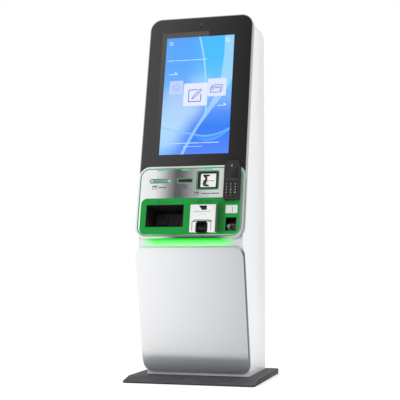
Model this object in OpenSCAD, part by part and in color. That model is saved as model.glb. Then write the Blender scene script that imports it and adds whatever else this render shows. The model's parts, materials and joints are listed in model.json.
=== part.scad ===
// Self-service payment kiosk: a leaning touch-screen head over a payment console,
// on a white sheet-metal column and a heavy floor plate.
// Millimetres, +Z up, +Y to the rear, origin at the centre of the floor plate's underside.

/* [Floor plate] */
// Width of the floor plate
base_w = 620; // [600:10:700]
// Depth of the floor plate
base_d = 584; // [580:4:640]
// Thickness of the floor plate
base_t = 24; // [20:1:28]
// Run of the ramp along the front edge
base_ramp = 95; // [60:5:100]
// Height left at the ramp's front edge
base_lip = 5; // [3:1:8]
// Spacing of the floor anchors across
anchor_x = 360; // [300:10:400]
// Spacing of the floor anchors front to back
anchor_y = 260; // [200:10:280]
// Radius of each floor anchor hole
anchor_r = 6; // [5:0.5:8]
// Radius of the cable entry through the floor plate
cable_r = 25; // [15:1:30]

/* [Column] */
// Width of the column
col_w = 496; // [494:1:498]
// Height of the column's flat top
col_h = 1742; // [1742:1:1760]
// Distance from the centre to the column's rear face
col_rear = 250; // [248:1:256]
// Distance from the centre to the front of the foot
foot_y = 109; // [100:1:118]
// Radius of the column's top corners
col_corner = 70; // [50:5:90]
// Sheet thickness
sheet = 3; // [2:0.5:3]

/* [Fold between the apron and the face] */
// How far the fold stands in front of the centre
fold_y = 241; // [238:1:244]
// Height of the fold
fold_z = 655; // [652:1:658]
// Lean of the face, backwards
face_lean = 12.4; // [12:0.1:12.8]
// Lean of the apron below the fold, forwards
apron_lean = 12.2; // [12:0.1:12.4]

/* [Head] */
// Width over the head's metal rim
head_w = 514; // [510:1:518]
// Distance from the fold up the face to the head's top edge
head_top = 1104; // [1102:1:1106]
// How far the head stands out of the column
head_proud = 32; // [30:1:32]
// Corner radius of the head
head_corner = 58; // [50:1:62]
// Width of the display picture
screen_w = 336.3; // [330:0.1:340]
// Height of the display picture
screen_h = 597.9; // [590:0.1:600]
// Distance from the fold up the face to the picture's centre
screen_v = 701; // [700:1:704]

/* [Console] */
// Width over the console's rim
console_w = 514; // [510:1:518]
// Height of the console along the face
console_h = 344; // [342:1:346]
// Corner radius of the console
console_corner = 55; // [50:1:60]
// How far the console's plate stands out of the column
console_proud = 38; // [38:1:38]
// Width of the change tray's opening
tray_w = 176; // [170:1:178]
// Height of the change tray's opening
tray_h = 101; // [98:1:104]
// Depth of the change tray behind the plate
tray_d = 148; // [120:1:150]

/* [Payment terminal] */
// Width of the terminal
terminal_w = 75; // [74:1:76]
// Height of the terminal
terminal_h = 185; // [184:1:190]
// Travel of each key
key_travel = 1; // [0.8:0.1:1]

/* [Lower front panel] */
// Width of the lower front panel
panel_w = 511; // [505:1:515]
// Height of the panel along the apron
panel_h = 602; // [590:1:603]
// How far the panel's face stands out of the apron
panel_proud = 39; // [36:1:40]
// Corner radius of the panel
panel_corner = 46; // [40:1:55]
// Angle of the tucked-in foot of the panel
tuck_angle = 20; // [10:1:22]

/* [Rear door] */
// Width of the rear door
door_w = 426; // [420:1:428]
// Height of the rear door
door_h = 1400; // [1380:10:1420]
// Height of the rear door's lower edge
door_z = 160; // [150:5:170]

/* [Hidden] */
$fn = 48;

eps = 0.5;
fit_gap = 0.2;            // between pieces that are fixed side by side
run_gap = 0.05;           // radial clearance of every pin in its bore
kick_z = fold_z - (fold_y - foot_y) / tan(apron_lean);
face_top_y = -fold_y + (col_h - fold_z) * tan(face_lean);
column_side = [[-foot_y, base_t], [-foot_y, kick_z], [-fold_y, fold_z], [face_top_y, col_h],
    [col_rear, col_h], [col_rear, base_t]];

// Levels along the face's normal, from the column's front plane
plate_back = 34.5;        // rear of the console's steel plate
fascia_t = 1.5;
fascia_front = console_proud + fascia_t;

// Heights along the face, from the fold
console_v = console_h / 2 - 2;
head_bottom = 285;        // lower end of the head beside the console's corners
head_notch_w = 410;       // the head is cut back between its two lower tabs
head_notch_v = 330;
rim_wall = 3.7;
glass_t = 4;
lcd_border = 18;
camera_v = 1056;
gusset_w = 40;            // gussets behind the console's lower corners
gusset_h = 30;

// Console modules: place of each centre as [x, v]
ticket_at = [-148.4, 271.4];
card_at = [-30, 271.4];
scanner_at = [78.4, 271.2];
tray_at = [-117.7, 103.1];
bill_at = [77.3, 77.3];
coin_at = [198.6, 130.7];
return_at = [198.4, 60.9];
terminal_at = [197.6, 263.9];
bracket_stem_v = 252;
bracket_stem = [30, 60];
light_bar_v = 324;
bar_at = [-149, -30, 77];

ticket_size = [106, 23];
ticket_mouth = [93.4, 14.2];
card_size = [76, 24];
card_mouth = [68.2, 17.6];
scanner_size = [110, 94];
scanner_mouth = [95, 82];
tray_wall = 2.5;
bill_w = 119.4;
bill_front_n = 85;
bill_mouth = [52, 56];
note_w = 88;
note_slot_h = 3.5;
note_slot_v = 64.8;
coin_size = [55, 38.5];
coin_slot = [3.2, 27];
coin_slot_x = 203;
return_size = [49.7, 63];
return_depth = 62;
fascia_w = 471;
fascia_v = [14.4, 187.4];
fascia_corner = 28;

// Terminal levels and keys
terminal_back = 40;
terminal_front = 60;
key_size = [15, 8.6];
key_pitch = [20.4, 13.45];
key_proud = 1.2;
key_rows_v = 243.6;
key_gap = 0.4;

// Ticket printer: axes of the platen and of the paper roll as [v, n]
platen_at = [290, 5];
platen_r = 8;
roll_at = [272, -58];
roll_r = 36;
roll_w = 80;
spindle_r = 6;

// Rear door and its hinges
door_gap = 3;
door_flange = 12;
hinge_x = door_w / 2 + 4;
hinge_y = col_rear + 6;
hinge_pin_r = 3;
hinge_barrel_r = 5;
hinge_heights = [280, 860, 1440];
lock_x = -188;
lock_z = 860;
lock_r = 8;
fan_z = 1650;
fan_size = 92;

white = [0.93, 0.94, 0.95];
silver = [0.80, 0.81, 0.82];
steel = [0.62, 0.63, 0.64];
black = [0.10, 0.10, 0.11];
charcoal = [0.20, 0.20, 0.21];
green = [0.14, 0.61, 0.27];
glow = [0.20, 0.90, 0.35];

// Places children on the face: x across, v up the face from the fold, n out of the face
module on_face(x = 0, v = 0, n = 0)
    translate([0, -fold_y, fold_z]) rotate([90 - face_lean, 0, 0]) translate([x, v, n]) children();

// Places children on the apron below the fold, in the same way
module on_apron(x = 0, v = 0, n = 0)
    translate([0, -fold_y, fold_z]) rotate([90 + apron_lean, 0, 0]) translate([x, v, n]) children();

module rounded_rect(size, r) {
    square([size[0] - 2 * r, size[1]], center = true);
    square([size[0], size[1] - 2 * r], center = true);
    for (sx = [-1, 1], sy = [-1, 1])
        translate([sx * (size[0] / 2 - r), sy * (size[1] / 2 - r)]) circle(r);
}

module pill(size) {
    square([size[0] - size[1], size[1]], center = true);
    for (sx = [-1, 1]) translate([sx * (size[0] - size[1]) / 2, 0]) circle(size[1] / 2);
}

// Extrudes a [y, z] outline across the object
module across(w) rotate([90, 0, 90]) linear_extrude(w, center = true) children();

// Extrudes a [v, n] outline across the face, inside on_face
module face_section(w) rotate([0, 90, 0]) rotate([0, 0, 90]) linear_extrude(w, center = true) children();

// Column outline seen from the front, drawn in x and z
module column_arch(inset) {
    half = col_w / 2 - inset;
    r = col_corner - inset;
    top = col_h - inset;
    translate([-half, base_t]) square([2 * half, top - r - base_t]);
    translate([-half + r, base_t]) square([2 * (half - r), top - base_t]);
    for (side = [-1, 1]) translate([side * (half - r), top - r]) circle(r);
}

module base_plate() {
    color(charcoal) difference() {
        intersection() {
            linear_extrude(base_t) rounded_rect([base_w, base_d], 20);
            across(base_w) polygon([[-base_d / 2, 0], [base_d / 2, 0], [base_d / 2, base_t],
                [-base_d / 2 + base_ramp, base_t], [-base_d / 2, base_lip]]);
        }
        for (sx = [-1, 1], sy = [-1, 1])
            translate([sx * anchor_x / 2, 70 + sy * anchor_y / 2, -eps]) cylinder(r = anchor_r, h = base_t + 2 * eps);
        translate([0, 150, -eps]) cylinder(r = cable_r, h = base_t + 2 * eps);
    }
}

module column_shell() {
    color(white) intersection() {
        across(col_w) polygon(column_side);
        rotate([90, 0, 0]) linear_extrude(4 * fold_y, center = true) difference() {
            column_arch(0);
            column_arch(sheet);
            translate([-col_w / 2 + sheet, 0]) square([col_w - 2 * sheet, 2 * base_t]);
        }
    }
}

module front_wall() {
    wall_w = col_w - 2 * sheet - fit_gap;
    gusset_x = wall_w / 2 - eps;
    color(white) {
        across(wall_w) polygon([[-foot_y, base_t], [-foot_y, kick_z], [-fold_y, fold_z],
            [-fold_y + sheet, fold_z], [-foot_y + sheet, kick_z], [-foot_y + sheet, base_t]]);
        // Corner gussets that close the column behind the console's lower corners
        on_face(n = -1.5 * sheet) linear_extrude(sheet) for (side = [-1, 1])
            polygon([[side * gusset_x, -2], [side * (gusset_x - gusset_w), -2], [side * gusset_x, gusset_h]]);
    }
}

module rear_frame() {
    opening_w = door_w + 2 * door_gap;
    opening_h = door_h + 2 * door_gap;
    color(white) difference() {
        translate([0, col_rear, 0]) rotate([90, 0, 0]) linear_extrude(sheet) difference() {
            column_arch(sheet + fit_gap / 2);
            translate([-opening_w / 2, door_z - door_gap]) square([opening_w, opening_h]);
            translate([-130, 74]) square([48, 28], center = true);
        }
        for (row = [-4 : 4])
            translate([0, col_rear, fan_z + row * 9]) cube([sqrt(pow(42, 2) - pow(row * 9, 2)) * 2, 4 * sheet, 4],
                center = true);
    }
}

// One shelf pan with a folded front and rear edge
module shelf(z, front, rear) {
    across(col_w - 2 * sheet - fit_gap) polygon([[front, z], [rear, z], [rear, z - 18], [rear - 2, z - 18],
        [rear - 2, z - 2], [front + 2, z - 2], [front + 2, z - 18], [front, z - 18]]);
}

module shelves() {
    color(steel) {
        shelf(300, -140, 220);
        shelf(520, -185, 220);
        shelf(1010, -130, 220);
    }
}

module head_outline(inset) {
    half = head_w / 2 - inset;
    r = head_corner - inset;
    top = head_top - inset;
    translate([-half, head_bottom]) square([2 * half, top - r - head_bottom]);
    translate([-half + r, head_bottom]) square([2 * (half - r), top - head_bottom]);
    for (side = [-1, 1]) translate([side * (half - r), top - r]) circle(r);
}

module head_notch(side_gap)
    translate([-head_notch_w / 2 - side_gap, 0]) square([head_notch_w + 2 * side_gap, head_notch_v]);

module head_rim() {
    flange = 34;
    color(silver) on_face() {
        linear_extrude(head_proud) difference() {
            head_outline(0);
            head_outline(rim_wall);
        }
        linear_extrude(2) difference() {
            head_outline(rim_wall - 0.1);
            translate([0, 1]) head_outline(flange);
            translate([-head_w / 2 + flange, head_bottom - 1])
                square([head_w - 2 * flange, head_top - head_bottom - 3 * flange]);
        }
    }
}

module front_glass() {
    color(black) on_face(n = head_proud - glass_t) linear_extrude(glass_t) difference() {
        head_outline(rim_wall + fit_gap / 2);
        head_notch(0);
        translate([0, camera_v]) rotate(90) pill([22, 11]);
    }
}

module lcd_panel() {
    color(charcoal) on_face(v = screen_v, n = 3) linear_extrude(24.5)
        square([screen_w + 2 * lcd_border, screen_h + 2 * lcd_border], center = true);
}

module camera_module() {
    color(black) {
        on_face(v = camera_v, n = 4) linear_extrude(18) rounded_rect([42, 28], 3);
        on_face(v = camera_v, n = 21.5) linear_extrude(10) rotate(90) pill([21.4, 10.4]);
    }
}

module console_outline(inset)
    rounded_rect([console_w - 2 * inset, console_h - 2 * inset], console_corner - inset);

light_inset = 8.5;
light_w = 4.5;

module console_rim() {
    wall = 3;
    skirt_top = head_bottom - console_v - fit_gap;
    color(silver) on_face(v = console_v) {
        translate([0, 0, head_proud + fit_gap]) linear_extrude(console_proud + 0.6 - head_proud - fit_gap)
            difference() {
                console_outline(0);
                console_outline(light_inset);
            }
        linear_extrude(head_proud + eps) difference() {
            console_outline(0);
            console_outline(wall);
            translate([-console_w / 2, skirt_top]) square([console_w, console_h]);
        }
    }
}

module console_light() {
    color(glow) on_face(v = console_v, n = 34) linear_extrude(console_proud + 0.4 - 34) difference() {
        console_outline(light_inset + 0.05);
        console_outline(light_inset + light_w);
    }
}

// Cut-outs of the lower modules, shared by the plate and the fascia
module lower_cutouts(gap) {
    translate(tray_at) square([tray_w + 2 * tray_wall + 2 * gap, tray_h + 2 * tray_wall + 2 * gap], center = true);
    translate([bill_at[0], 88]) square([note_w + 14, 116], center = true);
    translate(coin_at) square([coin_size[0] + 2 * gap, coin_size[1] + 2 * gap], center = true);
    translate(return_at) square([return_size[0] + 2 * gap, return_size[1] + 2 * gap], center = true);
}

module console_panel() {
    color(silver) on_face(n = plate_back) linear_extrude(console_proud - plate_back) difference() {
        translate([0, console_v]) console_outline(light_inset + light_w + 0.05);
        lower_cutouts(fit_gap);
        translate(ticket_at) pill(ticket_size + [fit_gap, fit_gap]);
        translate(card_at) rounded_rect(card_size + [fit_gap, fit_gap], 4);
        translate(scanner_at) rounded_rect(scanner_size + [fit_gap, fit_gap], 10);
        translate([terminal_at[0], bracket_stem_v]) square(bracket_stem + [1, 1], center = true);
    }
}

module green_fascia() {
    color(green) on_face(n = console_proud) linear_extrude(fascia_t) difference() {
        translate([0, (fascia_v[0] + fascia_v[1]) / 2])
            rounded_rect([fascia_w, fascia_v[1] - fascia_v[0]], fascia_corner);
        lower_cutouts(fit_gap);
    }
}

module accent_lights() {
    color(glow) {
        on_face(ticket_at[0], ticket_at[1], 35) linear_extrude(4) difference() {
            pill(ticket_size);
            pill(ticket_mouth + [fit_gap, fit_gap]);
        }
        on_face(card_at[0], card_at[1], 35) linear_extrude(4) difference() {
            rounded_rect(card_size, 4);
            rounded_rect(card_mouth + [fit_gap, fit_gap], 2);
        }
        on_face(scanner_at[0], scanner_at[1], 35) linear_extrude(4) difference() {
            rounded_rect(scanner_size, 10);
            rounded_rect(scanner_mouth + [fit_gap, fit_gap], 7);
        }
        for (x = bar_at) on_face(x, light_bar_v, console_proud) linear_extrude(1) pill([42, 6]);
        on_face(0, -2, 18) rotate([90, 0, 0]) linear_extrude(4) rounded_rect([410, 20], 8);
    }
}

module ticket_bezel() {
    color(silver) on_face(ticket_at[0], ticket_at[1], 31) linear_extrude(7.5) difference() {
        pill(ticket_mouth);
        square([82, 2.4], center = true);
    }
}

module ticket_printer() {
    cheek = 3;
    inner_w = 103;
    color(steel) on_face(ticket_at[0]) difference() {
        union() {
            for (side = [-1, 1]) translate([side * (inner_w + cheek) / 2, 0, 0]) face_section(cheek)
                polygon([[232, -100], [312, -100], [312, -10], [304, 30], [232, 30]]);
            translate([-inner_w / 2 - eps, 230, -100]) cube([inner_w + 2 * eps, 3, 130]);
            translate([-inner_w / 2 - eps, 260, 14]) cube([inner_w + 2 * eps, 8, 16]);
            translate([0, roll_at[0], roll_at[1]]) rotate([0, 90, 0])
                cylinder(r = spindle_r, h = inner_w + 2 * eps, center = true);
        }
        translate([0, platen_at[0], platen_at[1]]) rotate([0, 90, 0])
            cylinder(r = 3 + run_gap, h = inner_w + 4 * cheek, center = true);
    }
}

module platen_roller() {
    color(black) on_face(ticket_at[0], platen_at[0], platen_at[1]) rotate([0, 90, 0]) {
        cylinder(r = platen_r, h = 84, center = true);
        cylinder(r = 3, h = 108, center = true);
    }
}

module paper_roll() {
    color("white") on_face(ticket_at[0], roll_at[0], roll_at[1]) rotate([0, 90, 0]) difference() {
        cylinder(r = roll_r, h = roll_w, center = true);
        cylinder(r = spindle_r + run_gap, h = roll_w + 2 * eps, center = true);
    }
}

module card_reader() {
    color(black) on_face(card_at[0], card_at[1]) difference() {
        union() {
            translate([0, 0, 31]) linear_extrude(7.5) rounded_rect(card_mouth, 2);
            translate([0, 0, -60]) linear_extrude(91 + eps) square([78, 36], center = true);
        }
        translate([0, 0, 0]) linear_extrude(60) square([56, 2.2], center = true);
        translate([0, 0, 36]) linear_extrude(10) square([60, 7], center = true);
    }
}

module scanner_frame() {
    window_at = [82, 269.8];
    window_size = [73, 64.5];
    color(black) difference() {
        union() {
            on_face(scanner_at[0], scanner_at[1], 31) linear_extrude(9) rounded_rect(scanner_mouth, 7);
            on_face(scanner_at[0], scanner_at[1], -20) linear_extrude(51 + eps)
                square([88, 76], center = true);
        }
        on_face(window_at[0], window_at[1], 38) linear_extrude(9) rounded_rect(window_size, 2);
    }
}

// Terminal outline with chamfered upper corners, centred on the terminal
module terminal_outline(inset) {
    half_w = terminal_w / 2 - inset;
    half_h = terminal_h / 2 - inset;
    polygon([[-half_w, -half_h + 8], [-half_w + 6, -half_h], [half_w - 6, -half_h], [half_w, -half_h + 8],
        [half_w, half_h - 26], [half_w - 11, half_h], [-half_w + 11, half_h], [-half_w, half_h - 26]]);
}

function key_centre(index) = [(index % 3 - 1) * key_pitch[0] - 2.2,
    key_rows_v - floor(index / 3) * key_pitch[1] - terminal_at[1]];

terminal_screen_at = [-1.7, 30.9];
terminal_screen_size = [58.7, 45];

module terminal_case() {
    color(black) on_face(terminal_at[0], terminal_at[1], terminal_back) difference() {
        linear_extrude(terminal_front - terminal_back) terminal_outline(0);
        for (index = [0 : 14])
            translate([key_centre(index)[0], key_centre(index)[1], terminal_front - terminal_back - 3.2])
                linear_extrude(10) rounded_rect(key_size + [2 * key_gap, 2 * key_gap], 2.4);
        translate([terminal_screen_at[0], terminal_screen_at[1], terminal_front - terminal_back - 2])
            linear_extrude(10) rounded_rect(terminal_screen_size + [fit_gap, fit_gap], 2);
    }
}

module terminal_screen() {
    color(charcoal) on_face(terminal_at[0] + terminal_screen_at[0], terminal_at[1] + terminal_screen_at[1],
        terminal_front - 2) linear_extrude(1.6) rounded_rect(terminal_screen_size, 2);
}

module terminal_bracket() {
    color(steel) {
        on_face(terminal_at[0], terminal_at[1], console_proud) linear_extrude(terminal_back - console_proud)
            rounded_rect([46, 110], 5);
        on_face(terminal_at[0], bracket_stem_v, 8) linear_extrude(console_proud - 8)
            square(bracket_stem, center = true);
    }
}

module terminal_key(index, key_colour) {
    color(key_colour) on_face(terminal_at[0] + key_centre(index)[0], terminal_at[1] + key_centre(index)[1],
        terminal_front - 3 + key_travel) linear_extrude(3 - key_travel + key_proud) rounded_rect(key_size, 2);
}

module change_tray() {
    outer = [tray_w + 2 * tray_wall, tray_h + 2 * tray_wall];
    color(black) on_face(tray_at[0], tray_at[1], console_proud - tray_d - tray_wall) difference() {
        linear_extrude(tray_d + tray_wall + fascia_t) square(outer, center = true);
        translate([0, 0, tray_wall]) linear_extrude(tray_d + 10) square([tray_w, tray_h], center = true);
        translate([0, 18, -eps]) linear_extrude(10) square([150, 44], center = true);
        translate([0, tray_h / 2 - 6, tray_wall + 6]) rotate([0, 90, 0])
            cylinder(r = 2 + run_gap, h = outer[0] + 2 * eps, center = true);
    }
}

module tray_flap() {
    flap_h = 54;
    color(black) on_face(tray_at[0], tray_at[1] + tray_h / 2 - 6, console_proud - tray_d + 6) {
        translate([0, -flap_h / 2, -1]) cube([tray_w - 1.2, flap_h, 2], center = true);
        rotate([0, 90, 0]) cylinder(r = 2, h = tray_w + 2 * tray_wall - 0.2, center = true);
    }
}

module bill_bezel() {
    slot_n = [plate_back, bill_front_n + 10];
    color(white) difference() {
        on_face(bill_at[0]) difference() {
            union() {
                face_section(bill_w) polygon([[21.4, fascia_front], [13, bill_front_n], [141.5, bill_front_n],
                    [155.5, fascia_front]]);
                translate([0, 88, plate_back]) linear_extrude(fascia_front - plate_back + eps)
                    square([note_w + 13, 115], center = true);
            }
            translate([0, note_slot_v, slot_n[0] - eps]) linear_extrude(slot_n[1] - slot_n[0])
                square([note_w, note_slot_h], center = true);
            translate([-2.4, 36, 44]) linear_extrude(60) polygon([for (step = [0 : 7])
                [bill_mouth[0] / 2 * cos(step * 45 + 22.5), bill_mouth[1] / 2 * sin(step * 45 + 22.5)] / cos(22.5)]);
            translate([-0.8, 127, 70]) linear_extrude(30) polygon([[-18, 10], [18, 10], [18, -10], [-4, -10]]);
            translate([-2.4, 36, 66]) rotate([0, 90, 0]) cylinder(r = 3 + run_gap, h = 64, center = true);
        }
    }
}

module bill_roller() {
    color(black) on_face(bill_at[0] - 2.4, 36, 66) rotate([0, 90, 0]) {
        cylinder(r = 9, h = 48, center = true);
        cylinder(r = 3, h = 62, center = true);
    }
}

module bill_validator() {
    color(charcoal) on_face(bill_at[0]) difference() {
        translate([-49, 14, -130]) cube([98, 114, 130 + plate_back - fit_gap]);
        translate([0, note_slot_v, -20]) linear_extrude(80) square([note_w, note_slot_h], center = true);
    }
}

cash_box_corner = [22, -120, 520.5];
cash_box_size = [110, 230, 108];

module cash_box() {
    wall = 2;
    color(steel) translate(cash_box_corner) {
        difference() {
            cube(cash_box_size);
            translate([wall, wall, wall]) cube(cash_box_size - [2 * wall, 2 * wall, 2 * wall]);
            translate([wall, 40, cash_box_size[2] - 2 * wall]) cube([cash_box_size[0] - 2 * wall, 12, 3 * wall]);
        }
        difference() {
            translate([20, cash_box_size[1] - eps, 40]) cube([70, 22 + eps, 14]);
            translate([30, cash_box_size[1] - 2 * eps, 39]) cube([50, 14, 16]);
        }
    }
}

module coin_plate() {
    color(white) on_face(coin_at[0], coin_at[1]) difference() {
        union() {
            translate([0, 0, 37]) linear_extrude(4) rounded_rect(coin_size, 2);
            for (side = [-1, 1]) translate([coin_slot_x - coin_at[0] + side * 10, 15, 34.5])
                cube([3, 6, 6], center = true);
        }
        translate([coin_slot_x - coin_at[0], -2, 30]) linear_extrude(20) square(coin_slot, center = true);
        translate([0, 15, 33.4]) rotate([0, 90, 0]) cylinder(r = 1 + run_gap, h = 60, center = true);
    }
}

module coin_flap() {
    color(white) on_face(coin_slot_x, coin_at[1] + 15, 33.4) {
        translate([0, -15, 1.6]) cube([12, 34, 1.6], center = true);
        rotate([0, 90, 0]) cylinder(r = 1, h = 22.6, center = true);
        translate([0, 0, 0.9]) cube([12, 2.4, 2], center = true);
    }
}

module return_pocket() {
    inner = return_size - [3, 3];
    color(black) on_face(return_at[0], return_at[1], console_proud + 2 - return_depth) difference() {
        linear_extrude(return_depth) square(return_size, center = true);
        translate([0, 0, 2]) linear_extrude(return_depth) square(inner, center = true);
        translate([0, 6, 33]) rotate([0, 90, 0]) cylinder(r = 2 + run_gap, h = return_size[0] + 1, center = true);
    }
}

module return_flap() {
    flap_h = 34;
    flap_w = return_size[0] - 4.4;
    color(steel) on_face(return_at[0], return_at[1] + 6, console_proud + 35 - return_depth) {
        rotate([face_lean, 0, 0]) difference() {
            translate([0, -flap_h / 2, 0]) cube([flap_w, flap_h, 2], center = true);
            translate([0, -flap_h / 2 - 2, 0]) cylinder(r = 8, h = 10, center = true);
        }
        rotate([0, 90, 0]) cylinder(r = 2, h = return_size[0] - 0.2, center = true);
    }
}

hopper_box = [150, 150, 150];
hopper_corner = [-193, -70, 700];

module coin_hopper() {
    wall = 3;
    centre = [hopper_box[0] / 2, hopper_box[1] / 2];
    color(steel) translate(hopper_corner) {
        difference() {
            cube(hopper_box);
            translate([wall, wall, 20]) cube([hopper_box[0] - 2 * wall, hopper_box[1] - 2 * wall, hopper_box[2]]);
        }
        translate([centre[0], centre[1], 20 - eps]) cylinder(r = 4, h = 14);
        for (x = [10, hopper_box[0] - 25]) translate([x, 10, 520.2 - hopper_corner[2]])
            cube([15, hopper_box[1] - 20, hopper_corner[2] - 520.2 + eps]);
    }
}

module hopper_disc() {
    color(silver) translate([hopper_corner[0] + hopper_box[0] / 2, hopper_corner[1] + hopper_box[1] / 2,
        hopper_corner[2] + 20.5]) difference() {
        cylinder(r = 68, h = 10);
        translate([0, 0, -eps]) cylinder(r = 4 + run_gap, h = 12);
        for (hole = [0 : 4]) rotate(hole * 72) translate([42, 0, -eps]) cylinder(r = 15, h = 12);
    }
}

// Panel section in [v, n]: flat face, bend and tucked-in foot, moved inwards by inset
module panel_section(inset) {
    bend_r = 80;
    bend_v = -536;
    end_v = -30 - panel_h + inset;
    face_n = panel_proud - inset;
    bend = [for (step = [0 : 4 : tuck_angle]) [bend_v - (bend_r - inset) * sin(step),
        face_n - (bend_r - inset) * (1 - cos(step))]];
    last = bend[len(bend) - 1];
    end_n = last[1] - (last[0] - end_v) * tan(tuck_angle);
    polygon(concat([[-30 - inset, inset > 0 ? -1 : 2], [-30 - inset, face_n]], bend,
        [[end_v, end_n], [end_v, inset > 0 ? -1 : 2]]));
}

module panel_solid(inset) {
    centre_v = -30 - panel_h / 2;
    intersection() {
        translate([0, centre_v, -5]) linear_extrude(60)
            rounded_rect([panel_w - 2 * inset, panel_h - 2 * inset], panel_corner - inset);
        face_section(panel_w) panel_section(inset);
    }
}

module lower_panel() {
    color(silver) on_apron() difference() {
        panel_solid(0);
        panel_solid(sheet);
    }
}

module rear_door() {
    color(white) difference() {
        union() {
            translate([-door_w / 2, col_rear - 2, door_z]) cube([door_w, 2, door_h]);
            for (side = [-1, 1]) translate([side * (door_w / 2 - 1), col_rear - door_flange / 2, door_z + door_h / 2])
                cube([2, door_flange, door_h], center = true);
            for (z = [door_z, door_z + door_h - 2])
                translate([-door_w / 2, col_rear - door_flange, z]) cube([door_w, door_flange, 2]);
            for (z = hinge_heights) {
                translate([hinge_x, hinge_y, z + 0.3]) cylinder(r = hinge_barrel_r, h = 29.7);
                translate([hinge_x - 34, col_rear - eps, z + 0.3]) cube([30, 3 + eps, 29.7]);
                translate([hinge_x - 5, col_rear + 0.4, z + 0.3]) cube([5, 3, 29.7]);
            }
        }
        for (z = hinge_heights)
            translate([hinge_x, hinge_y, z - 1]) cylinder(r = hinge_pin_r + run_gap, h = 34);
        translate([lock_x, col_rear, lock_z]) rotate([90, 0, 0])
            cylinder(r = lock_r + run_gap, h = 40, center = true);
        for (bank = [360, 1200], row = [0 : 11])
            translate([0, col_rear, bank + row * 14]) cube([220, 30, 5], center = true);
    }
}

module door_hinges() {
    color(steel) for (z = hinge_heights) {
        translate([hinge_x, hinge_y, z - 30]) cylinder(r = hinge_barrel_r, h = 30);
        translate([hinge_x, hinge_y, z - 30]) cylinder(r = hinge_pin_r, h = 59);
        translate([hinge_x, col_rear, z - 30]) cube([24, 3, 30]);
    }
}

module rear_lock() {
    color(silver) translate([lock_x, 0, lock_z]) difference() {
        union() {
            translate([0, col_rear + 5, 0]) rotate([90, 0, 0]) cylinder(r = lock_r, h = 28);
            translate([0, col_rear + 5, 0]) rotate([90, 0, 0]) cylinder(r = 12, h = 4.7);
            translate([-7, col_rear - 26, -8]) cube([14, 3, 48]);
        }
        translate([-1, col_rear + 2, -5]) cube([2, 10, 10]);
    }
}

module computer() {
    color(black) translate([-190, -60, 1010.2]) cube([200, 180, 50]);
}

module power_supply() {
    color(silver) difference() {
        translate([40, -60, 300.2]) cube([160, 200, 86]);
        for (row = [0 : 5]) translate([60, 130, 318 + row * 10]) cube([120, 20, 4]);
    }
}

module cooling_fan() {
    color(black) translate([0, col_rear - sheet - 0.2, fan_z]) rotate([90, 0, 0]) {
        linear_extrude(25) difference() {
            square(fan_size, center = true);
            circle(43);
        }
        for (arm = [0 : 3]) rotate(arm * 90 + 45) translate([10, -2, 22]) cube([34, 4, 3]);
        translate([0, 0, 22]) cylinder(r = 16, h = 3);
        translate([0, 0, 6]) cylinder(r = 2, h = 17);
    }
}

module fan_rotor() {
    color(charcoal) translate([0, col_rear - sheet - 0.2, fan_z]) rotate([90, 0, 0]) difference() {
        union() {
            translate([0, 0, 4]) cylinder(r = 18, h = 17);
            for (blade = [0 : 6]) rotate(blade * 360 / 7) translate([28, 0, 12.5]) rotate([35, 0, 0])
                cube([26, 20, 1.6], center = true);
        }
        translate([0, 0, 5]) cylinder(r = 2 + run_gap, h = 20);
    }
}

module power_inlet() {
    color(black) translate([-130, col_rear, 74]) rotate([90, 0, 0]) difference() {
        union() {
            translate([0, 0, -2.5]) linear_extrude(2.4) rounded_rect([58, 34], 3);
            translate([0, 0, -0.2]) linear_extrude(26) square([47.4, 27.4], center = true);
        }
        difference() {
            translate([0, 0, -3]) linear_extrude(20) square([25, 17], center = true);
            for (x = [-7, 0, 7]) translate([x - 1, x == 0 ? 1 : -5, 5]) cube([2, 4, 15]);
        }
    }
}

module screws() {
    color(silver) {
        for (z = hinge_heights, dz = [-22, -8]) translate([hinge_x + 16, col_rear + 3, z + dz]) rotate([-90, 0, 0])
            cylinder(r1 = 3.6, r2 = 2.4, h = 2);
        for (x = [-154, -106]) translate([x, col_rear + 2.5, 74]) rotate([-90, 0, 0])
            cylinder(r1 = 2.6, r2 = 1.8, h = 1.6);
        for (side = [-1, 1], z = [60, 620, 1180, 1640]) translate([side * 236, col_rear, z]) rotate([-90, 0, 0])
            cylinder(r1 = 3.6, r2 = 2.4, h = 2);
    }
}

base_plate();
column_shell();
rear_frame();
front_wall();
shelves();
head_rim();
front_glass();
lcd_panel();
camera_module();
console_rim();
console_light();
console_panel();
green_fascia();
accent_lights();
ticket_bezel();
ticket_printer();
platen_roller();
paper_roll();
card_reader();
scanner_frame();
terminal_case();
terminal_screen();
terminal_bracket();
terminal_key(0, charcoal);  // key_1
terminal_key(1, charcoal);  // key_2
terminal_key(2, charcoal);  // key_3
terminal_key(3, charcoal);  // key_4
terminal_key(4, charcoal);  // key_5
terminal_key(5, charcoal);  // key_6
terminal_key(6, charcoal);  // key_7
terminal_key(7, charcoal);  // key_8
terminal_key(8, charcoal);  // key_9
terminal_key(9, charcoal);  // key_star
terminal_key(10, charcoal);  // key_0
terminal_key(11, charcoal);  // key_back
terminal_key(12, "firebrick");  // key_cancel
terminal_key(13, "goldenrod");  // key_clear
terminal_key(14, "seagreen");  // key_enter
change_tray();
tray_flap();
bill_bezel();
bill_validator();
bill_roller();
cash_box();
coin_plate();
coin_flap();
return_pocket();
return_flap();
coin_hopper();
hopper_disc();
lower_panel();
rear_door();
door_hinges();
rear_lock();
computer();
power_supply();
cooling_fan();
fan_rotor();
power_inlet();
screws();
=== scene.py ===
"""Finishes and visible detail of a free-standing payment kiosk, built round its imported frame."""

import json
from math import atan2, cos, pi, radians, sin

import bmesh
import bpy
from mathutils import Matrix, Vector


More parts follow.
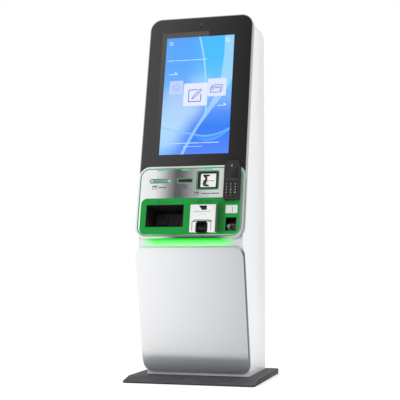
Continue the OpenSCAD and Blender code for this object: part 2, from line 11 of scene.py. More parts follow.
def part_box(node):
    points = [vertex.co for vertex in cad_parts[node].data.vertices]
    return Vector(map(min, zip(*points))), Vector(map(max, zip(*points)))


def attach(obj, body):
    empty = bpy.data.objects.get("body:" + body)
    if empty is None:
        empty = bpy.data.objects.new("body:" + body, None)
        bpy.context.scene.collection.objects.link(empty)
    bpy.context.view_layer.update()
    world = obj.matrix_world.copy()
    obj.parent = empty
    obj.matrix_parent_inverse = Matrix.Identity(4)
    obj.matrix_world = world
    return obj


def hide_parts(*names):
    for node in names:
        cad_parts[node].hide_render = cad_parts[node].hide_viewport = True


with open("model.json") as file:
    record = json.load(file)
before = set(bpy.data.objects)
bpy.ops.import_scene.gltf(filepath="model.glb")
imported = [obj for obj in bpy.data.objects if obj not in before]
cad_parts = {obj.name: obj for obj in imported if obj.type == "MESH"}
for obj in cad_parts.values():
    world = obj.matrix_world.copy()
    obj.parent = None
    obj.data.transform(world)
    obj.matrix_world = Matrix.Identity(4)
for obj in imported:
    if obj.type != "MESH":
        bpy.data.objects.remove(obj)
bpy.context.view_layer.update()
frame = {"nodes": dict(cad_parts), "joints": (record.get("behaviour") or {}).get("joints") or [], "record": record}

bl_info = {
    "name": "Payment kiosk",
    "version": (1, 0, 0),
    "blender": (4, 5, 0),
    "location": "View3D > Sidebar > Kiosk",
    "description": "Builds the visible pieces and finishes of a self-service payment kiosk",
    "category": "Object",
}

MM = 0.001
ROOT = "cabinet"


# ---------------------------------------------------------------- places taken from the frame

def lean_of_face():
    """Backward lean of the face, from the direction that the keys travel."""
    press = next(joint for joint in frame["joints"] if joint["name"] == "key_0_press")
    _, inward, rise = press["axis"]
    return atan2(-rise, inward)


def fold_of_front():
    """Foremost edge of the front wall, where the leaning face meets the apron."""
    vertices = frame["nodes"]["front_wall"].data.vertices
    foremost = min((vertex.co for vertex in vertices), key=lambda place: round(place.y, 5))
    return Vector((0, foremost.y, foremost.z))


FOLD = fold_of_front()
FACE_TURN = pi / 2 - lean_of_face()
# Face millimetres to the row frame: x across, y up the face from the fold, z out of the face
FACE = Matrix.Translation(FOLD) @ Matrix.Rotation(FACE_TURN, 4, "X") @ Matrix.Scale(MM, 4)


def face_box(node):
    """Lowest and highest corner of a node in face millimetres."""
    to_face = FACE.inverted()
    points = [to_face @ vertex.co for vertex in frame["nodes"][node].data.vertices]
    return [Vector([pick(point[axis] for point in points) for axis in range(3)]) for pick in (min, max)]


def face_middle(node):
    low, high = face_box(node)
    return (low + high) / 2


def front_of(node):
    return face_box(node)[1].z


def on_face(x=0.0, v=0.0, n=0.0):
    return FACE @ Matrix.Translation((x, v, n))


# ---------------------------------------------------------------- shapes

def rounded_outline(size, radius=0.0, segments=8):
    """A flat rounded rectangle centred on the origin, as one face."""
    bm = bmesh.new()
    bmesh.ops.create_grid(bm, x_segments=1, y_segments=1, size=0.5)
    bmesh.ops.scale(bm, vec=(size[0], size[1], 1), verts=bm.verts)
    radius = min(radius, 0.499 * min(size))
    if radius > 0:
        bmesh.ops.bevel(bm, geom=bm.verts[:], offset=radius, affect="VERTICES", segments=segments,
                        profile=0.5, material=-1)
    return bm


def polygon_outline(corners):
    """A flat face through a few corners."""
    bm = bmesh.new()
    bm.faces.new([bm.verts.new((x, y, 0)) for x, y in corners])
    return bm


def disc_outline(radius, segments=32):
    bm = bmesh.new()
    bmesh.ops.create_circle(bm, cap_ends=True, segments=segments, radius=radius)
    return bm


def hollow(bm, width):
    """Leaves only a band of the given width along the edge of a one-face outline."""
    middle = bm.faces[:]
    bmesh.ops.inset_region(bm, faces=middle, thickness=width, use_even_offset=True, use_boundary=True)
    bmesh.ops.delete(bm, geom=middle, context="FACES")
    return bm


def thicken(bm, depth):
    """Extrudes a flat outline towards +Z into a closed solid."""
    made = bmesh.ops.extrude_face_region(bm, geom=bm.faces[:] + bm.edges[:], use_keep_orig=True)
    lifted = [item for item in made["geom"] if isinstance(item, bmesh.types.BMVert)]
    bmesh.ops.translate(bm, vec=(0, 0, depth), verts=lifted)
    bmesh.ops.recalc_face_normals(bm, faces=bm.faces)
    return bm


def block(size, radius, depth, segments=8):
    """A flat block with rounded corners."""
    return thicken(rounded_outline(size, radius, segments), depth)


def ring(radius, width, depth, segments=32):
    return thicken(hollow(disc_outline(radius, segments), width), depth)


def merge(parts):
    """Joins several meshes into one."""
    whole = bmesh.new()
    carrier = bpy.data.meshes.new("carrier")
    for part in parts:
        part.to_mesh(carrier)
        part.free()
        whole.from_mesh(carrier)
    bpy.data.meshes.remove(carrier)
    return whole


def moved(bm, x=0.0, y=0.0, turn=0.0):
    matrix = Matrix.Translation((x, y, 0)) @ Matrix.Rotation(turn, 4, "Z")
    bmesh.ops.transform(bm, matrix=matrix, verts=bm.verts)
    return bm


def bar(start, end, width, depth, rounded=True):
    """A thin raised line from one point to another."""
    start, end = Vector(start), Vector(end)
    run = end - start
    length = run.length + (width if rounded else 0)
    middle = (start + end) / 2
    return moved(block((length, width), 0.49 * width if rounded else 0, depth, 3), middle.x, middle.y,
                 atan2(run.y, run.x))


def strokes(points, width, depth, closed=False):
    """A raised line through several points."""
    ends = points[1:] + (points[:1] if closed else [])
    return merge([bar(a, b, width, depth) for a, b in zip(points, ends)])


def arc_points(radius, start, end, steps, centre=(0, 0)):
    angles = [radians(start + (end - start) * step / steps) for step in range(steps + 1)]
    return [(centre[0] + radius * cos(angle), centre[1] + radius * sin(angle)) for angle in angles]


def cad_copy(node):
    """A merged copy of a node's mesh with its flat faces made whole."""
    bm = bmesh.new()
    bm.from_mesh(frame["nodes"][node].data)
    bmesh.ops.remove_doubles(bm, verts=bm.verts, dist=0.002 * MM)
    bmesh.ops.dissolve_limit(bm, angle_limit=radians(0.4), verts=bm.verts, edges=bm.edges)
    return bm


def soften(piece, width, segments=2, angle=32):
    """Rounds the sharp edges of a piece and shades it smooth."""
    for polygon in piece.data.polygons:
        polygon.use_smooth = True
    if not width:
        piece.data.set_sharp_from_angle(angle=radians(angle))
        return
    rounding = piece.modifiers.new("edge_rounding", "BEVEL")
    rounding.width = width * MM
    rounding.segments = segments
    rounding.limit_method = "ANGLE"
    rounding.angle_limit = radians(angle)
    rounding.use_clamp_overlap = False
    rounding.harden_normals = True


def make_piece(name, bm, finish, at=None, body=ROOT, replaces=(), edge=0.0, segments=2):
    """Turns a mesh into a finished piece of a body, at (x, v, n) on the face or at a matrix."""
    if at is not None:
        place = at if isinstance(at, Matrix) else on_face(*at)
        bmesh.ops.transform(bm, matrix=place, verts=bm.verts)
    mesh = bpy.data.meshes.new(name)
    bm.to_mesh(mesh)
    bm.free()
    mesh.materials.append(finish[0])
    piece = bpy.data.objects.new(name, mesh)
    bpy.context.scene.collection.objects.link(piece)
    soften(piece, edge, segments)
    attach(piece, body)
    if replaces:
        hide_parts(*replaces)


def finish_node(node, finish, edge=0.0, segments=2):
    """Replaces a node by a copy with rounded edges and its own finish."""
    bodies = frame["record"]["behaviour"]["bodies"]
    body = next(body for body, nodes in bodies.items() if node in nodes)
    make_piece(node + "_finished", cad_copy(node), finish, None, body, (node,), edge, segments)


def coat_nodes(finish, *nodes):
    """Keeps the shapes of nodes and gives them a finish."""
    for node in nodes:
        slots = frame["nodes"][node].data.materials
        slots.clear()
        slots.append(finish[0])


# ---------------------------------------------------------------- shader building blocks

def srgb(code):
    """A linear colour from a hexadecimal one."""
    parts = [int(code[place:place + 2], 16) / 255 for place in (0, 2, 4)]
    return tuple(part / 12.92 if part <= 0.04045 else ((part + 0.055) / 1.055) ** 2.4 for part in parts)


def rgba(colour):
    """What a colour socket takes, from a linear colour or a hexadecimal code."""
    return (*(srgb(colour) if isinstance(colour, str) else colour)[:3], 1.0)


def feed(socket, value):
    """Links a value to an input socket, or sets the socket to it."""
    if isinstance(value, Value):
        socket.id_data.links.new(value.socket, socket)
    else:
        socket.default_value = rgba(value) if socket.type == "RGBA" else value


def paint(shader, **values):
    """Feeds a shader's inputs, which are named with underscores for spaces."""
    for label, value in values.items():
        feed(shader.inputs[label.replace("_", " ")], value)


def add_node(tree, kind, inputs, **settings):
    """Adds a node, sets its properties, and feeds its inputs."""
    node = tree.nodes.new(kind)
    for name, value in settings.items():
        setattr(node, name, value)
    for name, value in inputs.items():
        feed(node.inputs[name], value)
    return node


def node_value(tree, kind, inputs, output=0, **settings):
    """Adds a node and gives one of its outputs."""
    return Value(add_node(tree, kind, inputs, **settings).outputs[output])


class Value:
    """An output of a shader node, on which arithmetic adds nodes to the same tree."""

    def __init__(self, socket):
        self.socket = socket
        self.tree = socket.id_data

    def maths(self, operation, other=0.0, clamp=False):
        return node_value(self.tree, "ShaderNodeMath", {0: self, 1: other}, operation=operation,
                          use_clamp=clamp)

    def __add__(self, other):
        return self.maths("ADD", other)

    def __sub__(self, other):
        return self.maths("SUBTRACT", other)

    def __mul__(self, other):
        return self.maths("MULTIPLY", other)

    def remap(self, start, end, low=0.0, high=1.0, curve="SMOOTHSTEP"):
        return node_value(self.tree, "ShaderNodeMapRange", {
            "Value": self, "From Min": start, "From Max": end, "To Min": low, "To Max": high},
            interpolation_type=curve)

    def band(self, centre, half_width, softness):
        """Mask of a band round a centre."""
        return use_group(self.tree, soft_band, {"Position": self, "Centre": centre, "Half Width": half_width,
                                                "Softness": softness})["Mask"]

    def ramp(self, *stops):
        """A colour ramp from (position, colour) stops."""
        node = add_node(self.tree, "ShaderNodeValToRGB", {"Fac": self})
        elements = node.color_ramp.elements
        while len(elements) < len(stops):
            elements.new(0.5)
        for element, (position, colour) in zip(elements, stops):
            element.position = position
            element.color = rgba(colour)
        return Value(node.outputs["Color"])

    def curve(self, *points):
        """A free curve through a few (input, output) points from 0 to 1."""
        node = add_node(self.tree, "ShaderNodeFloatCurve", {"Value": self})
        line = node.mapping.curves[0].points
        while len(line) < len(points):
            line.new(0.5, 0.5)
        for point, place in zip(line, points):
            point.location = place
        node.mapping.update()
        return Value(node.outputs["Value"])


def mix(factor, first, second, blend="MIX"):
    """Blends two colours."""
    tree = next(part.tree for part in (factor, first, second) if isinstance(part, Value))
    return node_value(tree, "ShaderNodeMix", {0: factor, 6: first, 7: second}, 2, data_type="RGBA",
                      blend_type=blend)


def split(vector):
    """X, Y and Z of a vector."""
    node = add_node(vector.tree, "ShaderNodeSeparateXYZ", {"Vector": vector})
    return [Value(output) for output in node.outputs]


def on_piece(tree):
    """Object coordinates."""
    return node_value(tree, "ShaderNodeTexCoord", {}, "Object")


def facing(tree):
    """X, Y and Z of the surface normal."""
    return split(node_value(tree, "ShaderNodeNewGeometry", {}, "Normal"))


def noise(tree, scale, detail=2.0):
    inputs = {"Vector": on_piece(tree), "Scale": scale, "Detail": detail}
    return node_value(tree, "ShaderNodeTexNoise", inputs)


def placed(tree, place=(0, 0, 0), turn=(0, 0, 0), size=(1, 1, 1)):
    """X, Y and Z of a pattern that is placed, turned and sized on the piece."""
    return split(node_value(tree, "ShaderNodeMapping", {
        "Vector": on_piece(tree), "Location": place, "Rotation": turn, "Scale": size}, vector_type="TEXTURE"))


def face_coords(tree, x=0.0, v=0.0, size=(1.0, 1.0)):
    """Coordinates along the face, in face millimetres over size."""
    return placed(tree, on_face(x, v).translation, (FACE_TURN, 0, 0), (size[0] * MM, size[1] * MM, MM))


def share_of(tree, node):
    """How far across and up the face of a node a point lies, from 0 to 1."""
    low, high = face_box(node)
    return face_coords(tree, low.x, low.y, (high.x - low.x, high.y - low.y))[:2]


def new_group(name, inputs, outputs):
    """A shader node group: its tree, its inputs as values, and the sockets of its outputs."""
    tree = bpy.data.node_groups.new(name, "ShaderNodeTree")
    kinds = {"Colour": "NodeSocketColor", "Vector": "NodeSocketVector", "Normal": "NodeSocketVector"}
    for labels, way in ((inputs, "INPUT"), (outputs, "OUTPUT")):
        for label in labels:
            tree.interface.new_socket(name=label, in_out=way, socket_type=kinds.get(label, "NodeSocketFloat"))
    given = {socket.name: Value(socket) for socket in tree.nodes.new("NodeGroupInput").outputs}
    return tree, given, tree.nodes.new("NodeGroupOutput").inputs


def surface_grain():
    """Fine mottling of colour, roughness and height, for paint, plastic and rubber."""
    tree, given, result = new_group(
        "surface_grain", ("Colour", "Variation", "Scale", "Roughness", "Roughness Spread", "Bump"),
        ("Colour", "Roughness", "Normal"))
    fine = noise(tree, given["Scale"], 3.0)
    blend = fine * 0.5 + noise(tree, 6.0, 4.0) * 0.5
    shade = blend.remap(0.3, 0.7, 0.75, 1.1, "LINEAR")
    feed(result["Colour"], mix(given["Variation"], given["Colour"], shade, "MULTIPLY"))
    spread = (blend - 0.5) * given["Roughness Spread"]
    feed(result["Roughness"], given["Roughness"].maths("ADD", spread, clamp=True))
    feed(result["Normal"], node_value(tree, "ShaderNodeBump", {"Height": fine, "Strength": 1.0,
                                                               "Distance": given["Bump"]}))
    return tree


def edge_wear():
    """Mask of rubbed outer edges."""
    tree, given, result = new_group("edge_wear", ("Amount",), ("Mask",))
    edges = node_value(tree, "ShaderNodeNewGeometry", {}, "Pointiness").remap(0.52, 0.62)
    broken = noise(tree, 60.0, 4.0).remap(0.4, 0.65)
    feed(result["Mask"], edges * broken * given["Amount"])
    return tree


def brushed_lines():
    """Fine lines of a brushed metal, stretched along the face."""
    tree, given, result = new_group("brushed_lines", ("Vector", "Strength"), ("Streaks", "Normal"))
    fine = node_value(tree, "ShaderNodeTexNoise", {"Vector": given["Vector"], "Scale": 1.0, "Detail": 4.0})
    streaks = fine.remap(0.3, 0.7, curve="LINEAR")
    feed(result["Streaks"], streaks)
    feed(result["Normal"], node_value(tree, "ShaderNodeBump", {
        "Height": streaks, "Strength": given["Strength"], "Distance": 0.01 * MM}))
    return tree


def soft_band():
    """Mask of a band round a centre, with soft edges."""
    tree, given, result = new_group("soft_band", ("Position", "Centre", "Half Width", "Softness"), ("Mask",))
    distance = (given["Position"] - given["Centre"]).maths("ABSOLUTE")
    outer = given["Half Width"] + given["Softness"]
    feed(result["Mask"], distance.remap(given["Half Width"], outer, 1.0, 0.0))
    return tree


def settled_dust():
    """Mask of a thin film on faces that look upwards."""
    tree, given, result = new_group("settled_dust", ("Amount",), ("Mask",))
    upward = facing(tree)[2].remap(0.6, 1.0)
    film = noise(tree, 14.0, 6.0).remap(0.35, 0.7)
    feed(result["Mask"], upward * film * given["Amount"])
    return tree


GROUPS = {}


def use_group(tree, build, inputs):
    """Places a shared group in a material, and builds it the first time."""
    if build.__name__ not in GROUPS:
        GROUPS[build.__name__] = build()
    node = add_node(tree, "ShaderNodeGroup", inputs, node_tree=GROUPS[build.__name__])
    return {socket.name: Value(socket) for socket in node.outputs}


def new_material(name, **values):
    """A material whose Principled shader has these values."""
    material = bpy.data.materials.new(name)
    material.use_nodes = True
    shader = material.node_tree.nodes["Principled BSDF"]
    paint(shader, **values)
    return material, material.node_tree, shader


def give_grain(tree, shader, colour, variation, scale, roughness, spread, bump):
    """Gives a shader a fine grain, and returns the grained colour."""
    grain = use_group(tree, surface_grain, {
        "Colour": colour, "Variation": variation, "Scale": scale, "Roughness": roughness,
        "Roughness Spread": spread, "Bump": bump * MM})
    paint(shader, Base_Color=grain["Colour"], Roughness=grain["Roughness"], Normal=grain["Normal"])
    return grain["Colour"]


def grainy(name, colour, roughness=0.4, variation=0.15, scale=900.0, bump=0.02, wear=0.0, **values):
    """A paint, plastic or rubber with grain and rubbed edges: material, tree, shader and colour."""
    material, tree, shader = new_material(name, **values)
    shade = give_grain(tree, shader, colour, variation, scale, roughness, 0.15, bump)
    if wear:
        worn = use_group(tree, edge_wear, {"Amount": wear})["Mask"]
        paint(shader, Base_Color=mix(worn, shade, (0.6, 0.6, 0.6)))
    return material, tree, shader, shade


# ---------------------------------------------------------------- finishes: (material, record slot)

def colours():
    return bpy.context.scene.kiosk_colours


def shine(shader, shade, dimming):
    """Makes a shader glow in a colour of which it reflects little."""
    paint(shader, Emission_Color=shade, Base_Color=mix(dimming, shade, "000000"))


def lit(name, colour, strength, slot, softness=0.12):
    """A lit print or light guide with slightly uneven brightness; glowing print, which is no lamp, is painted
    light.
    """
    material, tree, shader = new_material(name, Roughness=0.35, Emission_Strength=strength,
                                          Specular_IOR_Level=0.1)
    dim = [0.7 * part for part in rgba(colour)]
    shine(shader, mix(noise(tree, 35.0).remap(0.3, 0.7, 0.0, softness, "LINEAR"), colour, dim), 0.92)
    return material, slot


def plastic(name, colour, slot="black_plastic", roughness=0.42, bump=0.012, **values):
    values.setdefault("Specular_IOR_Level", 0.25)
    return grainy(name, colour, roughness, 0.2, 1100, bump, wear=0.12, **values)[0], slot


def powder_white():
    return grainy("white_powder_coat", colours().white, 0.38, 0.05, 700, 0.015, wear=0.1,
                  Coat_Weight=0.15, Coat_Roughness=0.25)[0], "powder_white"


def satin_rim():
    return grainy("satin_anodised_rim", colours().rim, 0.34, 0.08, 800, 0.006, wear=0.2,
                  Metallic=0.6)[0], "satin_rim"


def underglow():
    """Light bar that dims towards both of its ends."""
    material, tree, shader = new_material("underglow", Roughness=0.4, Specular_IOR_Level=0.1,
                                          Emission_Strength=1.0)
    across, _, _ = placed(tree, size=(MM, MM, MM))
    shine(shader, mix(across.band(-8.0, 150.0, 58.0), "8FD89A", colours().glow), 0.9)
    return material, "green_light"


def glowing_wall():
    """White powder coat with the green wash of the light bar under the console, painted into its colour and made
    to glow as painted light.
    """
    finish = colours()
    material, tree, shader, shade = grainy("white_coat_with_painted_green_light", finish.white, 0.4, 0.05, 700, 0.015)
    across, _, height = placed(tree, (0, 0, FOLD.z), size=(MM, MM, MM))
    sides = across.band(-10.0, 150.0, 95.0)
    # painted pool of green light: in the colour near the console, and as a glow falling off downwards
    fall = height.remap(-66.0, 0.0, curve="LINEAR").ramp(
        (0.0, "000000"), (0.3, "52A860"), (0.52, "6CCB78"), (0.8, "3FCB49"), (1.0, finish.glow))
    paint(shader, Base_Color=mix(height.remap(-40.0, 4.0) * sides, shade, finish.glow),
          Emission_Color=mix(sides, "000000", fall), Emission_Strength=0.75)
    return material, "powder_white"


def powder_black():
    """Black texture coat, with painted shade darkening its upright edges against the trodden top."""
    material, tree, shader, shade = grainy("black_powder_coat", colours().floor_plate, 0.55, 0.3, 1400, 0.06,
                                           Specular_IOR_Level=0.2)
    # painted shade: the upright sides, which face away from the light above, are darkened
    shade = mix(facing(tree)[2].remap(0.99, 0.8), shade, "29292B")
    shade = mix(use_group(tree, edge_wear, {"Amount": 0.15})["Mask"], shade, (0.3, 0.3, 0.3))
    shade = mix(use_group(tree, settled_dust, {"Amount": 0.06})["Mask"], shade, (0.5, 0.49, 0.47))
    paint(shader, Base_Color=shade)
    return material, "powder_black"


def silver_sheet():
    """Satin silver with a painted sheen that darkens across it, painted shade where the foot tucks in, and painted
    shade on its right flank.
    """
    material, tree, shader = new_material("satin_silver_sheet", Metallic=0.35, Coat_Weight=0.1,
                                          Coat_Roughness=0.2)
    low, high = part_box("lower_panel")
    across, _, height = placed(tree, (low.x, 0, low.z), size=(high.x - low.x, 1, high.z - low.z))
    # painted sheen: lighter on the left, darker to the right
    sheen = across.ramp((0.0, "F0F0F1"), (0.45, "DEE0E3"), (1.0, "C4C6CA"))
    # painted shade where the foot tucks in and faces down
    foot = height.ramp((0.0, "D2D5DA"), (0.06, "D6D8DC"), (0.1, "DEE0E3"), (0.135, "E8E9EB"),
                       (0.175, "FFFFFF"))
    # painted shade on the right flank
    shade = mix(facing(tree)[0].remap(0.6, 0.9), mix(1.0, sheen, foot, "MULTIPLY"), "2B2C2F")
    give_grain(tree, shader, shade, 0.04, 500.0, 0.42, 0.1, 0.004)
    return material, "silver_panel"


def bright_rim():
    """Polished console rim with a painted sheen along it, a painted dark reflection along the middle of its lower
    edge, and painted shade on its right side.
    """
    material, tree, shader = new_material("polished_rim", Metallic=0.6)
    across, up = share_of(tree, "console_rim")
    # painted sheen along the rim
    length = across.ramp((0.0, "FFFFFF"), (0.12, "F4F5F6"), (0.35, "D4D6D8"), (0.8, "E2E4E6"),
                         (1.0, "C8CACC"))
    # painted dark reflection along the middle of the lower edge
    shade = mix(up.remap(0.05, 0.018) * across.band(0.58, 0.16, 0.2), length, "50555A")
    # painted shade on the right side
    shade = mix(facing(tree)[0].remap(0.45, 0.9), shade, "808086")
    give_grain(tree, shader, shade, 0.05, 300.0, 0.2, 0.1, 0.002)
    return material, "satin_rim"


def brushed_plate():
    """Stainless steel brushed up and down, with a painted sheen: the painted dark reflection of a room behind, and
    painted shade at its right end.
    """
    material, tree, shader = new_material("brushed_stainless", Metallic=0.45)
    across, up = share_of(tree, "console_panel")
    # painted sheen and dark reflection across the plate, and painted shade at its right end beside the terminal
    sheen = across.ramp(
        (0.0, "FFFFFF"), (0.14, "F4F2F5"), (0.2, "D8D6DA"), (0.28, "9A9A9D"), (0.35, "5C5F5D"),
        (0.4, "626364"), (0.46, "86878A"), (0.58, "BEBFC2"), (0.72, "E4E5E6"), (0.94, "E2E2E4"),
        (0.965, "8E8D93"), (1.0, "7C7B81"))
    lines = node_value(tree, "ShaderNodeCombineXYZ", {"X": across * 420.0, "Y": up * 3.0})
    brushing = use_group(tree, brushed_lines, {"Vector": lines, "Strength": 0.5})
    streaks = brushing["Streaks"]
    paint(shader, Base_Color=mix(1.0, sheen, streaks.remap(0.0, 1.0, 0.92, 1.04, "LINEAR"), "MULTIPLY"),
          Roughness=streaks.remap(0.0, 1.0, 0.24, 0.42), Normal=brushing["Normal"])
    return material, "brushed_plate"


def fascia_paint():
    """Green satin paint, with a painted shadow in the channel between the banknote unit and the coin units."""
    material, tree, shader, shade = grainy("green_satin_paint", colours().fascia, 0.42, 0.08, 900, 0.008,
                                           Specular_IOR_Level=0.2)
    x, v, _ = face_coords(tree)
    # painted shadow in the channel right of the banknote bezel
    channel = x.band(151.0, 10.0, 16.0) * v.band(96.0, 62.0, 30.0)
    paint(shader, Base_Color=mix(channel, shade, "1B7A35"))
    return material, "fascia_green"


def painted_glass():
    """Gloss glass with a dark print behind it and a painted reflection across it; beside the picture a lighter
    border, the display's surround, painted on the left only and fading downwards as a painted reflection.
    """
    material, tree, shader = new_material("back_printed_glass", Coat_Weight=0.1, Coat_Roughness=0.03,
                                          Specular_IOR_Level=0.2)
    across, _ = share_of(tree, "front_glass")
    # painted reflection across the glass
    sheen = across.ramp((0.0, "414141"), (0.4, "353535"), (1.0, "161617"))
    picture = face_middle("lcd_panel")
    x, v, _ = face_coords(tree, picture.x, picture.y)
    inside = x.band(0.0, 191.0, 1.5) * v.band(4.0, 322.0, 1.5)
    # the display's surround, painted on the left only and fading downwards as a painted reflection
    border = inside * x.remap(44.0, 38.0) * v.remap(-330.0, 330.0)
    give_grain(tree, shader, mix(border, sheen, "54504C"), 0.06, 40.0, 0.24, 0.08, 0.0005)
    return material, "black_glass"


def display_picture():
    """A lit blue picture with flowing ribbons of light."""
    material, tree, shader = new_material("display_picture", Roughness=0.2, Emission_Strength=0.95,
                                          Specular_IOR_Level=0.05)
    head = bpy.context.scene.kiosk_head
    width, height = head.picture_width / MM, head.picture_height / MM
    middle = face_middle("lcd_panel")
    u, t, _ = face_coords(tree, middle.x - width / 2, middle.y - height / 2, (width, height))
    left = t.ramp((0.0, "86BCFF"), (0.08, "A8D8FF"), (0.25, "B8DCFD"), (0.45, "9CCBFD"), (0.60, "6FB3FD"),
                  (0.75, "63ABFF"), (1.0, "5AA8FF"))
    right = t.ramp((0.0, "5A8CFF"), (0.10, "4E86FD"), (0.22, "3C82F9"), (0.34, "5894FE"), (0.46, "82B4FC"),
                   (0.60, "8ACBFE"), (0.80, "55BBFF"), (1.0, "4FB9FF"))
    loop = t.curve((0.0, 0.40), (0.15, 0.46), (0.22, 0.545), (0.32, 0.625), (0.42, 0.645), (0.67, 0.606),
                   (0.84, 0.56), (1.0, 0.49))
    sweep = t.curve((0.0, 0.33), (0.20, 0.505), (0.35, 0.67), (0.46, 0.79), (0.60, 0.90), (0.75, 0.945),
                    (1.0, 0.955))
    dip = u.curve((0.0, 0.235), (0.30, 0.182), (0.41, 0.174), (0.60, 0.150), (0.74, 0.152), (0.87, 0.172),
                  (1.0, 0.207))
    crescent = u.curve((0.0, 0.16), (0.49, 0.134), (0.60, 0.114), (0.74, 0.115), (0.87, 0.145), (1.0, 0.20))
    blend = mix(t.remap(0.36, 0.54), (u - sweep).remap(-0.34, 0.05), u.remap(0.28, 0.66))
    shade = mix(blend, left, right)
    beyond = u.maths("GREATER_THAN", loop)
    between = t.maths("GREATER_THAN", crescent) * t.maths("LESS_THAN", dip)
    ribbons = (
        (beyond * t.remap(0.35, 0.75) * 0.55, "4CC4FF"),
        (u.band(sweep, t.remap(0.2, 0.75, 0.018, 0.085), 0.012) * 0.6, "B9E6FF"),
        (u.band(loop, 0.003, 0.016) * t.remap(0.24, 0.4), "A6E0FF"),
        (t.band(dip, 0.002, 0.008) * 0.75, "8CD0FF"),
        (between * u.remap(0.44, 0.62) * 0.4, "55B4FF"),
        (t.band(crescent, 0.002, 0.007) * u.remap(0.5, 0.85), "62BCFF"),
        (u.band(0.3, 0.10, 0.25) * t.band(0.44, 0.06, 0.12) * 0.45, "C4DCFF"),
        (u.band(0.53, 0.04, 0.2) * t.band(0.62, 0.01, 0.07) * 0.4, "A8D8FF"))
    for mask, colour in ribbons:
        shade = mix(mask, shade, colour)
    shine(shader, shade, 0.96)
    return material, "display"


def tray_lining():
    """Black moulding with painted light: paler deep inside the tray, and a painted pool of light along the lower
    band from the front, growing lighter to the right.
    """
    material, tree, shader, shade = grainy("tray_moulding", "232122", 0.5, 0.1, 1100, 0.004,
                                           Specular_IOR_Level=0.2)
    across, up = share_of(tree, "change_tray")
    depth = face_coords(tree)[2]
    # painted light deep inside the tray, lifting the shade of the hollow
    shade = mix(depth.remap(30.0, -10.0), shade, "2A2829")
    # painted pool of light along the lower band
    lower = up.remap(0.40, 0.36) * across.remap(0.2, 0.85, 0.3, 1.0) * depth.remap(34.0, 30.0)
    paint(shader, Base_Color=mix(lower, shade, "5A5A5C"))
    return material, "black_plastic"


# Openings of the banknote bezel, painted dark inside as painted shade: middle x and v, half width and half height
BEZEL_OPENINGS = [(76.5, 127.0, 18.6, 10.6), (74.9, 36.0, 27.0, 29.0), (77.3, 64.8, 44.6, 2.4)]


def bezel_moulding():
    """White moulding with painted shade, tinted green, on its right cheek, and painted shade darkening the inside
    of its openings.
    """
    material, tree, shader, shade = grainy("white_moulding", "EFEFEF", 0.3, 0.04, 900, 0.006,
                                           Coat_Weight=0.2, Coat_Roughness=0.15)
    # painted shade on the right cheek, tinted green
    shade = mix(facing(tree)[0].remap(0.6, 0.95), shade, "5A6E60")
    x, v, n = face_coords(tree)
    front = front_of("bill_bezel")
    below_front = n.remap(front - 0.4, front - 0.8, curve="LINEAR")
    # painted shade inside the openings
    for middle_x, middle_v, half_width, half_height in BEZEL_OPENINGS:
        opening = x.band(middle_x, half_width, 0.2) * v.band(middle_v, half_height, 0.2)
        shade = mix(opening * below_front, shade, "101011")
    paint(shader, Base_Color=shade)
    return material, "white_plastic"


def ticket_mouth():
    """Translucent grey nose that is lit at both ends."""
    material, tree, shader, _ = grainy("ticket_nose", "9A9C9E", 0.3, 0.1, 900, 0.004,
                                       Coat_Weight=0.3, Coat_Roughness=0.1, Emission_Strength=0.7)
    across = face_coords(tree, face_middle("ticket_bezel").x)[0]
    paint(shader, Emission_Color=mix(across.maths("ABSOLUTE").remap(36.0, 44.0), "000000", "C8FFDD"))
    return material, "satin_rim"


def terminal_moulding():
    """Dark moulding, with painted shade on its right flank."""
    material, tree, shader, shade = grainy("terminal_moulding", "2E2D2E", 0.4, 0.2, 1100, 0.012,
                                           Specular_IOR_Level=0.25)
    # painted shade on the right flank
    paint(shader, Base_Color=mix(facing(tree)[0].remap(0.3, 0.8), shade, "121112"))
    return material, "black_plastic"


def terminal_window():
    """Dark display window with painted shade that darkens it to the right."""
    material, tree, shader, shade = grainy("terminal_window", "2A2E2D", 0.12, 0.1, 900, 0,
                                           Coat_Weight=0.2, Coat_Roughness=0.03, Specular_IOR_Level=0.25)
    across, up = share_of(tree, "terminal_screen")
    # painted shade, darker to the right
    paint(shader, Base_Color=mix((across - up * 0.3).remap(0.0, 0.9), shade, "120F0D"))
    return material, "terminal_glass"


def plated_steel():
    material, tree, shader = new_material("zinc_plated_steel", Metallic=0.9)
    crystals = node_value(tree, "ShaderNodeTexVoronoi", {"Vector": on_piece(tree), "Scale": 90.0}, "Distance")
    blend = crystals * 0.4 + noise(tree, 9.0, 5.0) * 0.6
    paint(shader, Base_Color=blend.ramp((0.2, "B2B5B7"), (0.7, "CACDCE")),
          Roughness=blend.remap(0.2, 0.8, 0.36, 0.46))
    return material, "zinc_steel"


def thermal_paper():
    material, tree, shader = new_material("thermal_paper", Roughness=0.85)
    low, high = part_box("paper_roll")
    _, y, z = placed(tree, (low + high) / 2, size=(MM, MM, MM))
    wraps = ((y * y + z * z).maths("SQRT") * 5.0).maths("SINE")
    paint(shader, Base_Color=mix(wraps.remap(-1.0, 1.0), "F4F3EE", "DAD8D0"))
    return material, "thermal_paper"


# ---------------------------------------------------------------- settings

def colour_setting(name, description, code):
    return bpy.props.FloatVectorProperty(name=name, description=description, size=3, subtype="COLOR",
                                         min=0, max=1, default=srgb(code))


def length_setting(name, description, length):
    return bpy.props.FloatProperty(name=name, description=description, default=length, min=0.1,
                                   unit="LENGTH", subtype="DISTANCE")


